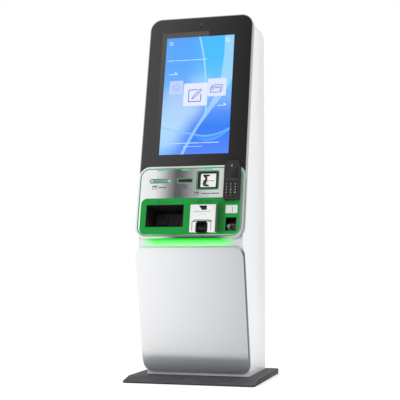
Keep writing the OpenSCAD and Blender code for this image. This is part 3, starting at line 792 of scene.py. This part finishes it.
class KioskColours(bpy.types.PropertyGroup):
    white: colour_setting("White coat", "Colour of the column", "E9EBEE")
    floor_plate: colour_setting("Floor plate", "Colour of the floor plate", "4D4D4F")
    rim: colour_setting("Head rim", "Colour of the head's metal rim", "B4B5B8")
    fascia: colour_setting("Fascia", "Colour of the painted fascia", "16983C")
    glow: colour_setting("Glow", "Colour of the light under the console", "22DD2C")
    light_core: colour_setting("Light core", "Colour inside the light lines", "146434")
    # colour of the painted halo of light at the light lines' edges
    light_edge: colour_setting("Light edge", "Colour at the light lines' edges", "8CD6A8")
    print_ink: colour_setting("Print", "Colour of the printed symbols", "3C3D40")


class KioskHead(bpy.types.PropertyGroup):
    picture_width: length_setting("Picture width", "Width of the lit picture", 336.3 * MM)
    picture_height: length_setting("Picture height", "Height of the lit picture", 597.9 * MM)


class KioskStage(bpy.types.PropertyGroup):
    lens: bpy.props.FloatProperty(name="Lens", description="Focal length of the camera in millimetres",
                                  default=87.7, min=10)
    surround: bpy.props.FloatProperty(name="Surround", description="Strength of the even white surround",
                                      default=0.74, min=0)
    key_light: bpy.props.FloatProperty(name="Key light", description="Power of the large front light",
                                       default=32.0, min=0, unit="POWER")


# ---------------------------------------------------------------- operators

class KioskPiece:
    """Shared settings of the operators that build the kiosk."""
    bl_options = {"REGISTER", "UNDO"}

    def execute(self, context):
        self.build(context.scene)
        return {"FINISHED"}


class KIOSK_OT_stage(KioskPiece, bpy.types.Operator):
    """Adds the camera, the lights, the white surround and the pale floor"""
    bl_idname = "kiosk.stage"
    bl_label = "Stage"

    def build(self, scene):
        scene.view_settings.view_transform = "Standard"
        power = scene.kiosk_stage.key_light
        self.add_camera(scene)
        self.add_surround(scene)
        self.add_floor(scene)
        self.add_light(scene, "key_light", (-2.2, -3.4, 3.0), 2.6, power, (0, -0.1, 0.9))
        self.add_light(scene, "side_light", (3.4, -0.4, 2.2), 2.2, power * 0.7, (0, 0, 0.9))

    def add_camera(self, scene):
        data = bpy.data.cameras.new("camera")
        data.lens = scene.kiosk_stage.lens
        camera = bpy.data.objects.new("camera", data)
        camera.location = (1.2319, -4.5385, 0.5484)
        camera.rotation_euler = (radians(93.686), 0, radians(15.407))
        scene.collection.objects.link(camera)
        scene.camera = camera

    def add_light(self, scene, name, place, size, power, target):
        data = bpy.data.lights.new(name, "AREA")
        data.size = size
        data.energy = power
        data.specular_factor = 0.0
        light = bpy.data.objects.new(name, data)
        light.location = place
        light.visible_glossy = False
        aim = Vector(target) - light.location
        light.rotation_euler = aim.to_track_quat("-Z", "Y").to_euler()
        scene.collection.objects.link(light)

    def add_surround(self, scene):
        """White to the camera, and dimmer as a light."""
        world = bpy.data.worlds.new("white_surround")
        world.use_nodes = True
        tree = world.node_tree
        even = tree.nodes["Background"]
        paint(even, Color=(1, 1, 1), Strength=scene.kiosk_stage.surround)
        plain = node_value(tree, "ShaderNodeBackground", {"Color": (1, 1, 1), "Strength": 1.0})
        ray = node_value(tree, "ShaderNodeLightPath", {}, "Is Camera Ray")
        choice = node_value(tree, "ShaderNodeMixShader", {0: ray, 1: Value(even.outputs[0]), 2: plain})
        paint(tree.nodes["World Output"], Surface=choice)
        scene.world = world

    def add_floor(self, scene):
        bm = bmesh.new()
        bmesh.ops.create_grid(bm, x_segments=2, y_segments=2, size=14)
        mesh = bpy.data.meshes.new("pale_floor")
        bm.to_mesh(mesh)
        bm.free()
        material, tree, shader = new_material("pale_floor", Roughness=0.9, Emission_Strength=0.34,
                                              Emission_Color=(1, 1, 1))
        paint(shader, Base_Color=mix(noise(tree, 300.0), (0.88, 0.88, 0.88), (0.92, 0.92, 0.92)))
        mesh.materials.append(material)
        floor = bpy.data.objects.new("pale_floor", mesh)
        scene.collection.objects.link(floor)


class KIOSK_OT_floor_plate(KioskPiece, bpy.types.Operator):
    """Builds the black floor plate with its ramp"""
    bl_idname = "kiosk.floor_plate"
    bl_label = "Floor plate"

    def build(self, scene):
        finish_node("base_plate", powder_black(), 1.2, 3)


class KIOSK_OT_column(KioskPiece, bpy.types.Operator):
    """Builds the white column, its front wall and its rear frame"""
    bl_idname = "kiosk.column"
    bl_label = "Column"

    def build(self, scene):
        white = powder_white()
        finish_node("column_shell", white, 0.8)
        finish_node("rear_frame", white, 0.4)
        finish_node("front_wall", glowing_wall(), 0.3)
        finish_node("lower_panel", silver_sheet(), 0.9, 3)


class KIOSK_OT_head(KioskPiece, bpy.types.Operator):
    """Builds the head: its rim, printed glass, camera and lit picture"""
    bl_idname = "kiosk.head"
    bl_label = "Head"

    def build(self, scene):
        finish_node("head_rim", satin_rim(), 0.5)
        finish_node("front_glass", painted_glass(), 0.4)
        coat_nodes(plastic("display_back", "2A2B2D", "display", 0.5), "lcd_panel")
        coat_nodes(plastic("camera_housing", "101011", roughness=0.35), "camera_module")
        self.add_camera_eye()
        self.add_picture(scene.kiosk_head)

    def add_camera_eye(self):
        x, v, _ = face_middle("camera_module")
        front = front_of("camera_module")
        make_piece("camera_window", block((11, 27), 5.4, 0.08),
                   plastic("camera_window_print", "1C1C1D", roughness=0.3),
                   (x, v + 7, front_of("front_glass")))
        make_piece("camera_ring", ring(4.6, 1.1, 0.5), plastic("camera_trim", "2C2D30", roughness=0.25),
                   (x, v, front), edge=0.12)
        dome = bmesh.new()
        bmesh.ops.create_uvsphere(dome, u_segments=24, v_segments=12, radius=3.4)
        bmesh.ops.scale(dome, vec=(1, 1, 0.25), verts=dome.verts)
        make_piece("camera_eye", dome, plastic("camera_eye", "0B0D16", roughness=0.08, bump=0,
                                               Coat_Weight=1.0, Coat_Roughness=0.02), (x, v, front))

    def add_picture(self, head):
        middle = face_middle("lcd_panel")
        size = Vector((head.picture_width, head.picture_height)) / MM
        glass = front_of("front_glass")

        def spot(share, layers):
            """A place at a share of the picture's size, so many layers above the glass."""
            return (middle.x + (share[0] - 0.5) * size.x, middle.y + (share[1] - 0.5) * size.y,
                    glass + layers * LAYER)

        make_piece("screen_picture", block(size, 0, LAYER), display_picture(),
                   (middle.x, middle.y, glass - 0.02))
        for name, share, tile_size, tint in TILES:
            make_piece(name, block(tile_size, 5, LAYER, 5), lit(name + "_light", tint, 0.96, "display", 0.05),
                       spot(share, 1))
        lights = {name: lit(name, *look) for name, look in ICON_LIGHTS.items()}
        for name, build, share, light in ICONS:
            make_piece(name, build(LAYER), lights[light], spot(share, 2))
        faint = lights["faint_screen_light"]
        for name, height, start, lengths in SCREEN_LINES:
            words = []
            for length in lengths:
                words.append(bar((start * size.x, 0), ((start + length) * size.x, 0), 4.2, LAYER))
                start += length + 0.02
            make_piece(name, merge(words), faint, spot((0, height), 2))
        make_piece("screen_underline", block((0.28 * size.x, 2.6), 1.3, LAYER, 4), faint,
                   spot((0.485, 0.063), 2))


def edit_icon(depth):
    """A sheet of paper with a pencil across it."""
    sheet = strokes([(12, 30), (-28, 30), (-30, 27), (-30, -27), (-28, -30), (28, -30), (30, -27), (30, 6)],
                    4.6, depth)
    pencil = strokes([(-14, -17), (-10, -6), (26, 32), (33, 26), (-3, -12), (-14, -17)], 3.8, depth)
    return merge([sheet, pencil])


def round_icon(depth):
    return merge([ring(17, 2.6, depth), strokes(arc_points(7, 200, 340, 6), 2.6, depth)])


def folder_icon(depth):
    """A stack of cards."""
    front = strokes([(-28, -20), (20, -20), (20, 2), (-28, 2)], 3.6, depth, closed=True)
    rear = strokes([(-28, 2), (-18, 17), (28, 17), (28, -8), (20, -20)], 3.2, depth)
    return merge([front, rear, bar((-26, 9), (22, 9), 2.6, depth), bar((-22, -6), (-14, -6), 3.2, depth)])


def arrow_icon(depth):
    return merge([bar((-20, -2), (6, -2), 2.8, depth), bar((6, -2), (20, 0), 2.8, depth),
                  bar((20, 0), (10, 9), 2.6, depth), bar((13, 1), (10, 8), 2.2, depth)])


def sheet_icon(depth):
    outline = strokes([(-8, -8), (8, -8), (8, 8), (-8, 8)], 2.8, depth, closed=True)
    return merge([outline, bar((-4, 3), (5, 3), 2.4, depth), bar((-4, -3), (5, -3), 2.4, depth)])


def clock_icon(depth):
    return merge([ring(11.5, 2.6, depth), strokes([(0, 6), (0, 0), (4, -2)], 2.2, depth)])


LAYER = 0.1      # thickness of the picture and of each layer on it

# Tiles of the picture: name, centre as a share of the picture, size, tint
TILES = [("left_tile", (0.187, 0.565), (68, 70), "BCD0FF"),
         ("centre_tile", (0.475, 0.500), (116, 116), "E3E9FF"),
         ("right_tile", (0.784, 0.554), (91, 91), "DCE5FF")]

# Lights of the icons: colour, strength, slot and unevenness
ICON_LIGHTS = {"icon_light": ("7F82CE", 0.95, "display"), "soft_icon_light": ("98A6EE", 0.95, "display"),
               "faint_screen_light": ("B9DBFF", 0.98, "display", 0.05),
               "white_screen_light": ("EAF6FF", 0.98, "display", 0.05)}

# Icons: name, shape, centre as a share of the picture, light
ICONS = [("edit_icon", edit_icon, (0.468, 0.490), "icon_light"),
         ("round_icon", round_icon, (0.187, 0.565), "soft_icon_light"),
         ("folder_icon", folder_icon, (0.779, 0.545), "icon_light"),
         ("arrow_left", arrow_icon, (0.128, 0.683), "white_screen_light"),
         ("arrow_right", arrow_icon, (0.868, 0.402), "white_screen_light"),
         ("sheet_icon", sheet_icon, (0.069, 0.952), "faint_screen_light"),
         ("clock_icon", clock_icon, (0.905, 0.957), "white_screen_light")]

# Plain bars on the picture: name, height, start and lengths as shares of the picture
SCREEN_LINES = [("upper_words", 0.800, 0.03, (0.105, 0.03, 0.03, 0.11, 0.225)),
                ("lower_words", 0.092, 0.14, (0.05, 0.18, 0.15, 0.02, 0.23))]


class KIOSK_OT_console(KioskPiece, bpy.types.Operator):
    """Builds the console: rim, light lines, brushed plate, fascia and printed symbols"""
    bl_idname = "kiosk.console"
    bl_label = "Console"

    def build(self, scene):
        finish_node("console_rim", bright_rim(), 1.1, 3)
        finish_node("console_panel", brushed_plate(), 0.3)
        finish_node("green_fascia", fascia_paint(), 0.3)
        self.add_lights(scene.kiosk_colours)
        self.add_symbols(scene.kiosk_colours)

    def add_lights(self, settings):
        core = lit("light_core", settings.light_core, 0.75, "green_light")
        # painted halo: the outer and inner bands glow round each line's core, standing for its light on the steel
        edge = lit("light_edge", settings.light_edge, 0.95, "green_light")
        bright = lit("light_bar", "66CE8C", 0.95, "green_light")
        low, high = face_box("console_light")
        ticket, card, scanner = map(face_middle, ("ticket_bezel", "card_reader", "scanner_frame"))
        # Name, middle, size, radius, level, depth, widths of the three bands, node that the line replaces
        lines = [("console_line", (low + high) / 2, (high - low).xy, 46.4, low.z, high.z - low.z,
                  (1.1, 3.0, 1.3), ("console_light",)),
                 ("ticket_ring", ticket, (106, 23), 11.5, 35, 4, (1.2, 3.6, 1.4), ("accent_lights",)),
                 ("card_ring", Vector((card.x, ticket.y)), (76, 24), 4, 35, 4, (0.9, 1.9, 0.4), ()),
                 ("scanner_ring", scanner, (110, 94), 10, 35, 4, (1.4, 4.0, 0.5), ())]
        for name, middle, size, radius, level, depth, widths, replaces in lines:
            inset = 0.0
            for part, width, finish in zip(("outer", "core", "inner"), widths, (edge, core, edge)):
                outline = rounded_outline((size[0] - 2 * inset, size[1] - 2 * inset), radius - inset, 16)
                make_piece(f"{name}_{part}", thicken(hollow(outline, width), depth), finish,
                           (middle.x, middle.y, level), replaces=replaces if part == "core" else ())
                inset += width
        for name, x in (("ticket_bar", ticket.x), ("card_bar", card.x), ("scanner_bar", scanner.x)):
            make_piece(name, block((42, 6), 3, 1, 6), bright, (x, LIGHT_BAR_V, PLATE_FRONT), edge=0.2)
        make_piece("underglow_bar", block((410, 20), 8, 4, 6), underglow(),
                   on_face(0, -2, 18) @ Matrix.Rotation(pi / 2, 4, "X"), edge=0.5)

    def add_symbols(self, settings):
        ink = plastic("printed_ink", settings.print_ink, "black_plastic", 0.6, 0.002)
        dark_green = plastic("dark_green_ink", "17602C", "fascia_green", 0.5, 0.002)
        for name, x, v, level, words in SYMBOLS:
            finish = ink if level == PLATE_FRONT else dark_green
            make_piece(name + "_symbol", card_symbol(PRINT), finish, (x, v, level))
            if words:
                lines = [bar((start, 0), (end, 0), 4.2, PRINT) for start, end in words]
                make_piece(name + "_words", merge(lines), finish, (0, v - 1, level))
        for name, v in (("coin_in_symbol", 155.0), ("coin_out_symbol", 74.6)):
            coin = merge([ring(5.4, 1.6, PRINT), thicken(disc_outline(2.0), PRINT)])
            make_piece(name, coin, dark_green, (156.7, v, FASCIA_FRONT))


PLATE_FRONT = front_of("console_panel")
FASCIA_FRONT = front_of("green_fascia")
LIGHT_BAR_V = 324.0
PRINT = 0.15      # thickness of the console's print

# Printed symbols: name, x, v, level and the runs of the plain bars beside them
SYMBOLS = [("ticket", -175.5, 241.0, PLATE_FRONT, [(-155, -140), (-135, -121)]),
           ("card", -31.0, 242.0, PLATE_FRONT, []),
           ("scanner", 29.0, 208.5, PLATE_FRONT, [(52, 80), (86, 92), (99, 135)]),
           ("tray", -143.5, 167.0, FASCIA_FRONT, [(-128, -84)]),
           ("note", 51.5, 170.5, FASCIA_FRONT, [(72, 111)])]


def card_symbol(depth):
    """A card with an arrow that points into it."""
    outline = strokes([(-10.5, -7), (10.5, -7), (10.5, 7), (-10.5, 7)], 2.0, depth, closed=True)
    stripe = bar((-10, 5), (10, 5), 3.6, depth, rounded=False)
    arrow = thicken(polygon_outline([(-3.4, 1.5), (0, -3.0), (3.4, 1.5)]), depth)
    return merge([outline, stripe, arrow])


class KIOSK_OT_slots(KioskPiece, bpy.types.Operator):
    """Builds the ticket mouth, the card mouth and the scanner window with its label"""
    bl_idname = "kiosk.slots"
    bl_label = "Ticket, card and scanner"

    def build(self, scene):
        finish_node("ticket_bezel", ticket_mouth(), 0.6)
        finish_node("card_reader", plastic("card_mouth_moulding", "3A3C40", roughness=0.3), 0.6)
        finish_node("scanner_frame", plastic("scanner_moulding", "161617", roughness=0.2,
                                             Coat_Weight=0.4, Coat_Roughness=0.05), 0.8)
        level = front_of("scanner_frame") - 2
        label = plastic("scanner_label", "F4F5F5", "white_plastic", 0.25, 0.003, Coat_Weight=0.5)
        make_piece("scanner_label", block((72.6, 64.1), 2, 0.8), label, (*LABEL_AT, level), edge=0.2)
        ink = plastic("label_ink", "141415", "black_plastic", 0.5, 0.002)
        make_piece("scanner_diagram", scanner_diagram(0.12), ink, (*LABEL_AT, level + 0.8))


LABEL_AT = (82.0, 269.8)


def scanner_diagram(depth):
    """A hand feeding a card under a reader: bold stepped outline, and guide lines."""
    bold = [thicken(polygon_outline(corners), depth + 0.03 * step) for step, corners in enumerate((
        [(-26, 28), (6, 28), (6, 20), (-8, 19), (-26, 22)],
        [(-25, 22), (-8, 22), (-4, 11), (-9, 2), (-17, 10)],
        [(-17, 6), (-3, 4), (-9, -8), (-24, -8)],
        [(-25, -7), (-9, -7), (-9, -21), (-22, -27), (-27, -18)],
        [(-20, -19), (-6, -19), (5, -23), (3, -29), (-16, -29)]))]
    lines = [bar((-27, -2), (-8, -2), 3.0, depth), bar((-6, -2), (12, -2), 2.2, depth),
             bar((14, -3), (25, -3), 3.6, depth), bar((-8, -9), (0, -9), 1.8, depth)]
    return merge(bold + lines)


class KIOSK_OT_terminal(KioskPiece, bpy.types.Operator):
    """Builds the payment terminal: case, screen, marks and numbered keys"""
    bl_idname = "kiosk.terminal"
    bl_label = "Payment terminal"

    def build(self, scene):
        finish_node("terminal_case", terminal_moulding(), 0.8, 3)
        finish_node("terminal_screen", terminal_window(), 0.3)
        coat_nodes(plated_steel(), "terminal_bracket")
        self.add_marks()
        self.add_keys()

    def add_marks(self):
        x, front = face_middle("terminal_case").x, front_of("terminal_case")
        # the printed marks below glow as painted light
        waves = [strokes(arc_points(radius, 50, 130, 5, (0, -9)), 1.3, 0.2) for radius in (5, 8, 11)]
        dot = moved(thicken(disc_outline(1.4, 12), 0.2), 0, -6)
        make_piece("contactless_mark", merge(waves + [dot]), lit("pale_marks", "C9CBCD", 0.55, "key_plastic"),
                   on_face(x - 1, 332.5, front) @ Matrix.Rotation(-pi / 2, 4, "Z"))
        marks = [moved(thicken(hollow(rounded_outline((6.5, 5), 1.4, 3), 0.9), 0.2), offset)
                 for offset in (-21, -7, 7, 21)]
        make_piece("touch_marks", merge(marks), lit("dim_marks", "8F9193", 0.45, "key_plastic"),
                   (x - 1.7, 266.0, front))
        make_piece("terminal_divider", block((70, 2.2), 1.0, 0.25, 3),
                   plastic("terminal_groove", "0C0C0D", roughness=0.6), (x, 255.5, front - 0.1), edge=0.1)

    def add_keys(self):
        finishes = {node: (plastic(moulding, dark, slot, 0.5), lit(legend, pale, strength, slot))
                    for node, moulding, dark, legend, pale, strength, slot in KEY_LOOKS}
        for node in sorted(name for name in frame["nodes"] if name.startswith("key_")):
            moulding, print_light = finishes.get(node, finishes["plain"])
            finish_node(node, moulding, 0.5)
            x, v, _ = face_middle(node)
            sign = KEY_SIGNS.get(node, node[-1])
            legend = digit(sign, 7.4) if isinstance(sign, str) else sign(0.12)
            # the printed legend glows as painted light
            make_piece(node + "_legend", legend, print_light, (x, v, front_of(node) - 0.02), node)


# Keys: node, moulding and its colour, legend and its colour, the legend's strength of painted glow, slot
KEY_LOOKS = [("plain", "key_moulding", "262628", "key_print", "E4E5E6", 0.9, "key_plastic"),
             ("key_cancel", "red_key", "402022", "red_print", "B06060", 0.8, "key_red"),
             ("key_clear", "yellow_key", "3A341C", "yellow_print", "B0A060", 0.8, "key_yellow"),
             ("key_enter", "green_key", "1C3224", "green_print", "4E8A66", 0.7, "key_green")]


def digit(character, height):
    """A printed character, as a mesh centred on the origin."""
    curve = bpy.data.curves.new("legend", "FONT")
    curve.body = character
    curve.size = height
    curve.extrude = 0.06
    curve.offset = 0.15
    curve.align_x = "CENTER"
    curve.align_y = "CENTER"
    carrier = bpy.data.objects.new("legend", curve)
    mesh = bpy.data.meshes.new_from_object(carrier)
    bm = bmesh.new()
    bm.from_mesh(mesh)
    bmesh.ops.remove_doubles(bm, verts=bm.verts, dist=0.001)
    bpy.data.objects.remove(carrier)
    bpy.data.curves.remove(curve)
    bpy.data.meshes.remove(mesh)
    return bm


def star_sign(depth):
    return merge([moved(bar((-2.2, 0), (2.2, 0), 0.8, depth), turn=radians(angle)) for angle in (0, 60, 120)])


def down_sign(depth):
    return thicken(polygon_outline([(-4.2, 2.2), (0, -2.8), (4.2, 2.2)]), depth)


def cross_sign(depth):
    return merge([bar((-2.2, -2.2), (2.2, 2.2), 0.9, depth), bar((-2.2, 2.2), (2.2, -2.2), 0.9, depth)])


def back_sign(depth):
    return merge([bar((-2.8, 0), end, 0.9, depth) for end in ((2.8, 0), (-0.6, 2), (-0.6, -2))])


def ring_sign(depth):
    return ring(2.8, 0.8, depth, 20)


KEY_SIGNS = {"key_star": star_sign, "key_back": down_sign, "key_cancel": cross_sign, "key_clear": back_sign,
             "key_enter": ring_sign}


class KIOSK_OT_cash_units(KioskPiece, bpy.types.Operator):
    """Builds the change tray, the banknote unit, the coin plate and the return pocket"""
    bl_idname = "kiosk.cash_units"
    bl_label = "Cash units"

    def build(self, scene):
        coat_nodes(tray_lining(), "change_tray")
        coat_nodes(plastic("tray_flap_moulding", "302E2F", roughness=0.5, bump=0.004), "tray_flap")
        self.add_note_unit()
        white = plastic("coin_plate_moulding", "E3E4E4", "white_plastic", 0.3, 0.004)
        finish_node("coin_plate", white, 0.6)
        finish_node("coin_flap", white, 0.2)
        finish_node("return_pocket", plastic("pocket_moulding", "121213", roughness=0.35), 0.6)
        finish_node("return_flap", plated_steel(), 0.2)
        self.add_return_scoop()

    def add_note_unit(self):
        finish_node("bill_bezel", bezel_moulding(), 1.6, 3)
        x, front = face_middle("bill_bezel").x, front_of("bill_bezel")
        green = lit("note_guide_light", "58C48C", 0.85, "green_light")
        for name, v in (("upper_guide_line", 109.6), ("lower_guide_line", 71.0)):
            make_piece(name, block((77, 2.6), 1.3, 0.3, 4), green, (x - 3, v, front), edge=0.1)
        grey = plastic("bezel_print", "A6A8AB", "white_plastic", 0.5, 0.002)
        make_piece("bezel_arc", strokes(arc_points(21, 25, 155, 12), 1.1, 0.12), grey, (x, 79.0, front))
        dark = plastic("bezel_dark_print", "55585C", "black_plastic", 0.5, 0.002)
        for side, rail_x, inward in (("left", 29.5, 4), ("right", 117.5, -4)):
            make_piece(f"note_rail_{side}", block((4.2, 40), 1.5, 0.8, 4), grey, (rail_x, 41.0, front - 0.1),
                       edge=0.3)
            make_piece(f"note_tick_{side}", bar((-7, 0), (7, 0), 2.2, 0.15), dark,
                       (rail_x + inward, 62.0, front))
        collar = thicken(hollow(rounded_outline((56, 57), 9, 1), 6.5), 1.0)
        make_piece("mouth_collar", collar, plastic("mouth_collar", "19191A", roughness=0.3),
                   (74.9, 36.0, front - 0.6), edge=0.3)
        rubber = grainy("ground_rubber", "1B1B1C", 0.7, 0.3, 1600, 0.05)[0], "roller_rubber"
        make_piece("bill_roller_finished", ribbed_roller(face_box("bill_roller"), 9.0, 3.0, 48.0), rubber,
                   FACE, "bill_roller", ("bill_roller",))
        coat_nodes(plastic("validator_case", "2B2C2F"), "bill_validator")
        coat_nodes(rubber, "platen_roller")

    def add_return_scoop(self):
        low, high = face_box("return_pocket")
        x, v = (low.x + high.x) / 2 + 3, low.y + 20
        scoop = thicken(polygon_outline([(-19, -17), (19, -17), (19, 11), (11, 17), (-9, 17)]), 5)
        make_piece("return_scoop", scoop, plastic("scoop_moulding", "4A4A48", roughness=0.35, bump=0.008),
                   (x, v, FASCIA_FRONT - 20), edge=0.8)
        black = plastic("scoop_bore", "060606", roughness=0.4, bump=0)
        # the black disc fills the hole as painted shade
        for name, bm, depth, edge in (("return_hole_ring", ring(10.5, 1.6, 2), 15.6, 0.3),
                                      ("return_hole_shade", thicken(disc_outline(9.2), 0.4), 15.2, 0.0)):
            make_piece(name, bm, black, (x + 1, v - 3, FASCIA_FRONT - depth), edge=edge)


def ribbed_roller(box, radius, axle, width):
    """A rubber roller with grooves, spun round its axle."""
    low, high = box
    middle = (low + high) / 2
    grooves = 8
    pitch = width / grooves
    profile = [(low.x, 0), (low.x, axle), (middle.x - width / 2, axle)]
    for groove in range(grooves):
        start = middle.x - width / 2 + groove * pitch
        profile += [(start + 0.2, radius - 0.8), (start + 0.9, radius), (start + pitch - 0.9, radius),
                    (start + pitch - 0.2, radius - 0.8)]
    profile += [(middle.x + width / 2, axle), (high.x, axle), (high.x, 0)]
    bm = bmesh.new()
    points = [bm.verts.new((x, middle.y + r, middle.z)) for x, r in profile]
    chain = [bm.edges.new(pair) for pair in zip(points, points[1:])]
    bmesh.ops.spin(bm, geom=points + chain, cent=middle, axis=(1, 0, 0), steps=32, angle=2 * pi,
                   use_merge=True)
    bmesh.ops.remove_doubles(bm, verts=bm.verts, dist=0.001)
    bmesh.ops.recalc_face_normals(bm, faces=bm.faces)
    return bm


class KIOSK_OT_inside(KioskPiece, bpy.types.Operator):
    """Finishes the modules, shelves and fittings inside and behind the column"""
    bl_idname = "kiosk.inside"
    bl_label = "Inside and rear"

    def build(self, scene):
        case = grainy("anodised_case", "5A5C60", 0.4, 0.15, 900, 0.01, wear=0.2, Metallic=0.6)[0]
        coat_nodes(plated_steel(), "shelves", "ticket_printer", "cash_box", "door_hinges", "rear_lock",
                   "screws", "hopper_disc")
        coat_nodes(powder_white(), "rear_door")
        coat_nodes((case, "device_case"), "computer", "power_supply")
        coat_nodes(plastic("hopper_moulding", "6C7076", "hopper_plastic"), "coin_hopper")
        coat_nodes(thermal_paper(), "paper_roll")
        coat_nodes(plastic("fan_moulding", "1F1F20"), "cooling_fan", "fan_rotor", "power_inlet")


# ---------------------------------------------------------------- panel and registration

class KIOSK_PT_pieces(bpy.types.Panel):
    """Lists the kiosk's pieces and settings"""
    bl_label = "Kiosk"
    bl_idname = "KIOSK_PT_pieces"
    bl_space_type = "VIEW_3D"
    bl_region_type = "UI"
    bl_category = "Kiosk"

    def draw(self, context):
        for operator in OPERATORS:
            self.layout.operator(operator.bl_idname)
        for name in SETTINGS:
            group = getattr(context.scene, name)
            for setting in group.__annotations__:
                self.layout.prop(group, setting)


OPERATORS = (KIOSK_OT_stage, KIOSK_OT_floor_plate, KIOSK_OT_column, KIOSK_OT_head, KIOSK_OT_console,
             KIOSK_OT_slots, KIOSK_OT_terminal, KIOSK_OT_cash_units, KIOSK_OT_inside)
SETTINGS = {"kiosk_colours": KioskColours, "kiosk_head": KioskHead, "kiosk_stage": KioskStage}


def register():
    for name, group in SETTINGS.items():
        bpy.utils.register_class(group)
        setattr(bpy.types.Scene, name, bpy.props.PointerProperty(type=group))
    for cls in (*OPERATORS, KIOSK_PT_pieces):
        bpy.utils.register_class(cls)


def unregister():
    for cls in reversed((*OPERATORS, KIOSK_PT_pieces)):
        bpy.utils.unregister_class(cls)
    for name, group in SETTINGS.items():
        delattr(bpy.types.Scene, name)
        bpy.utils.unregister_class(group)


def main():
    register()
    for operator in OPERATORS:
        family, name = operator.bl_idname.split(".")
        getattr(getattr(bpy.ops, family), name)()


if __name__ == "__main__":
    main()
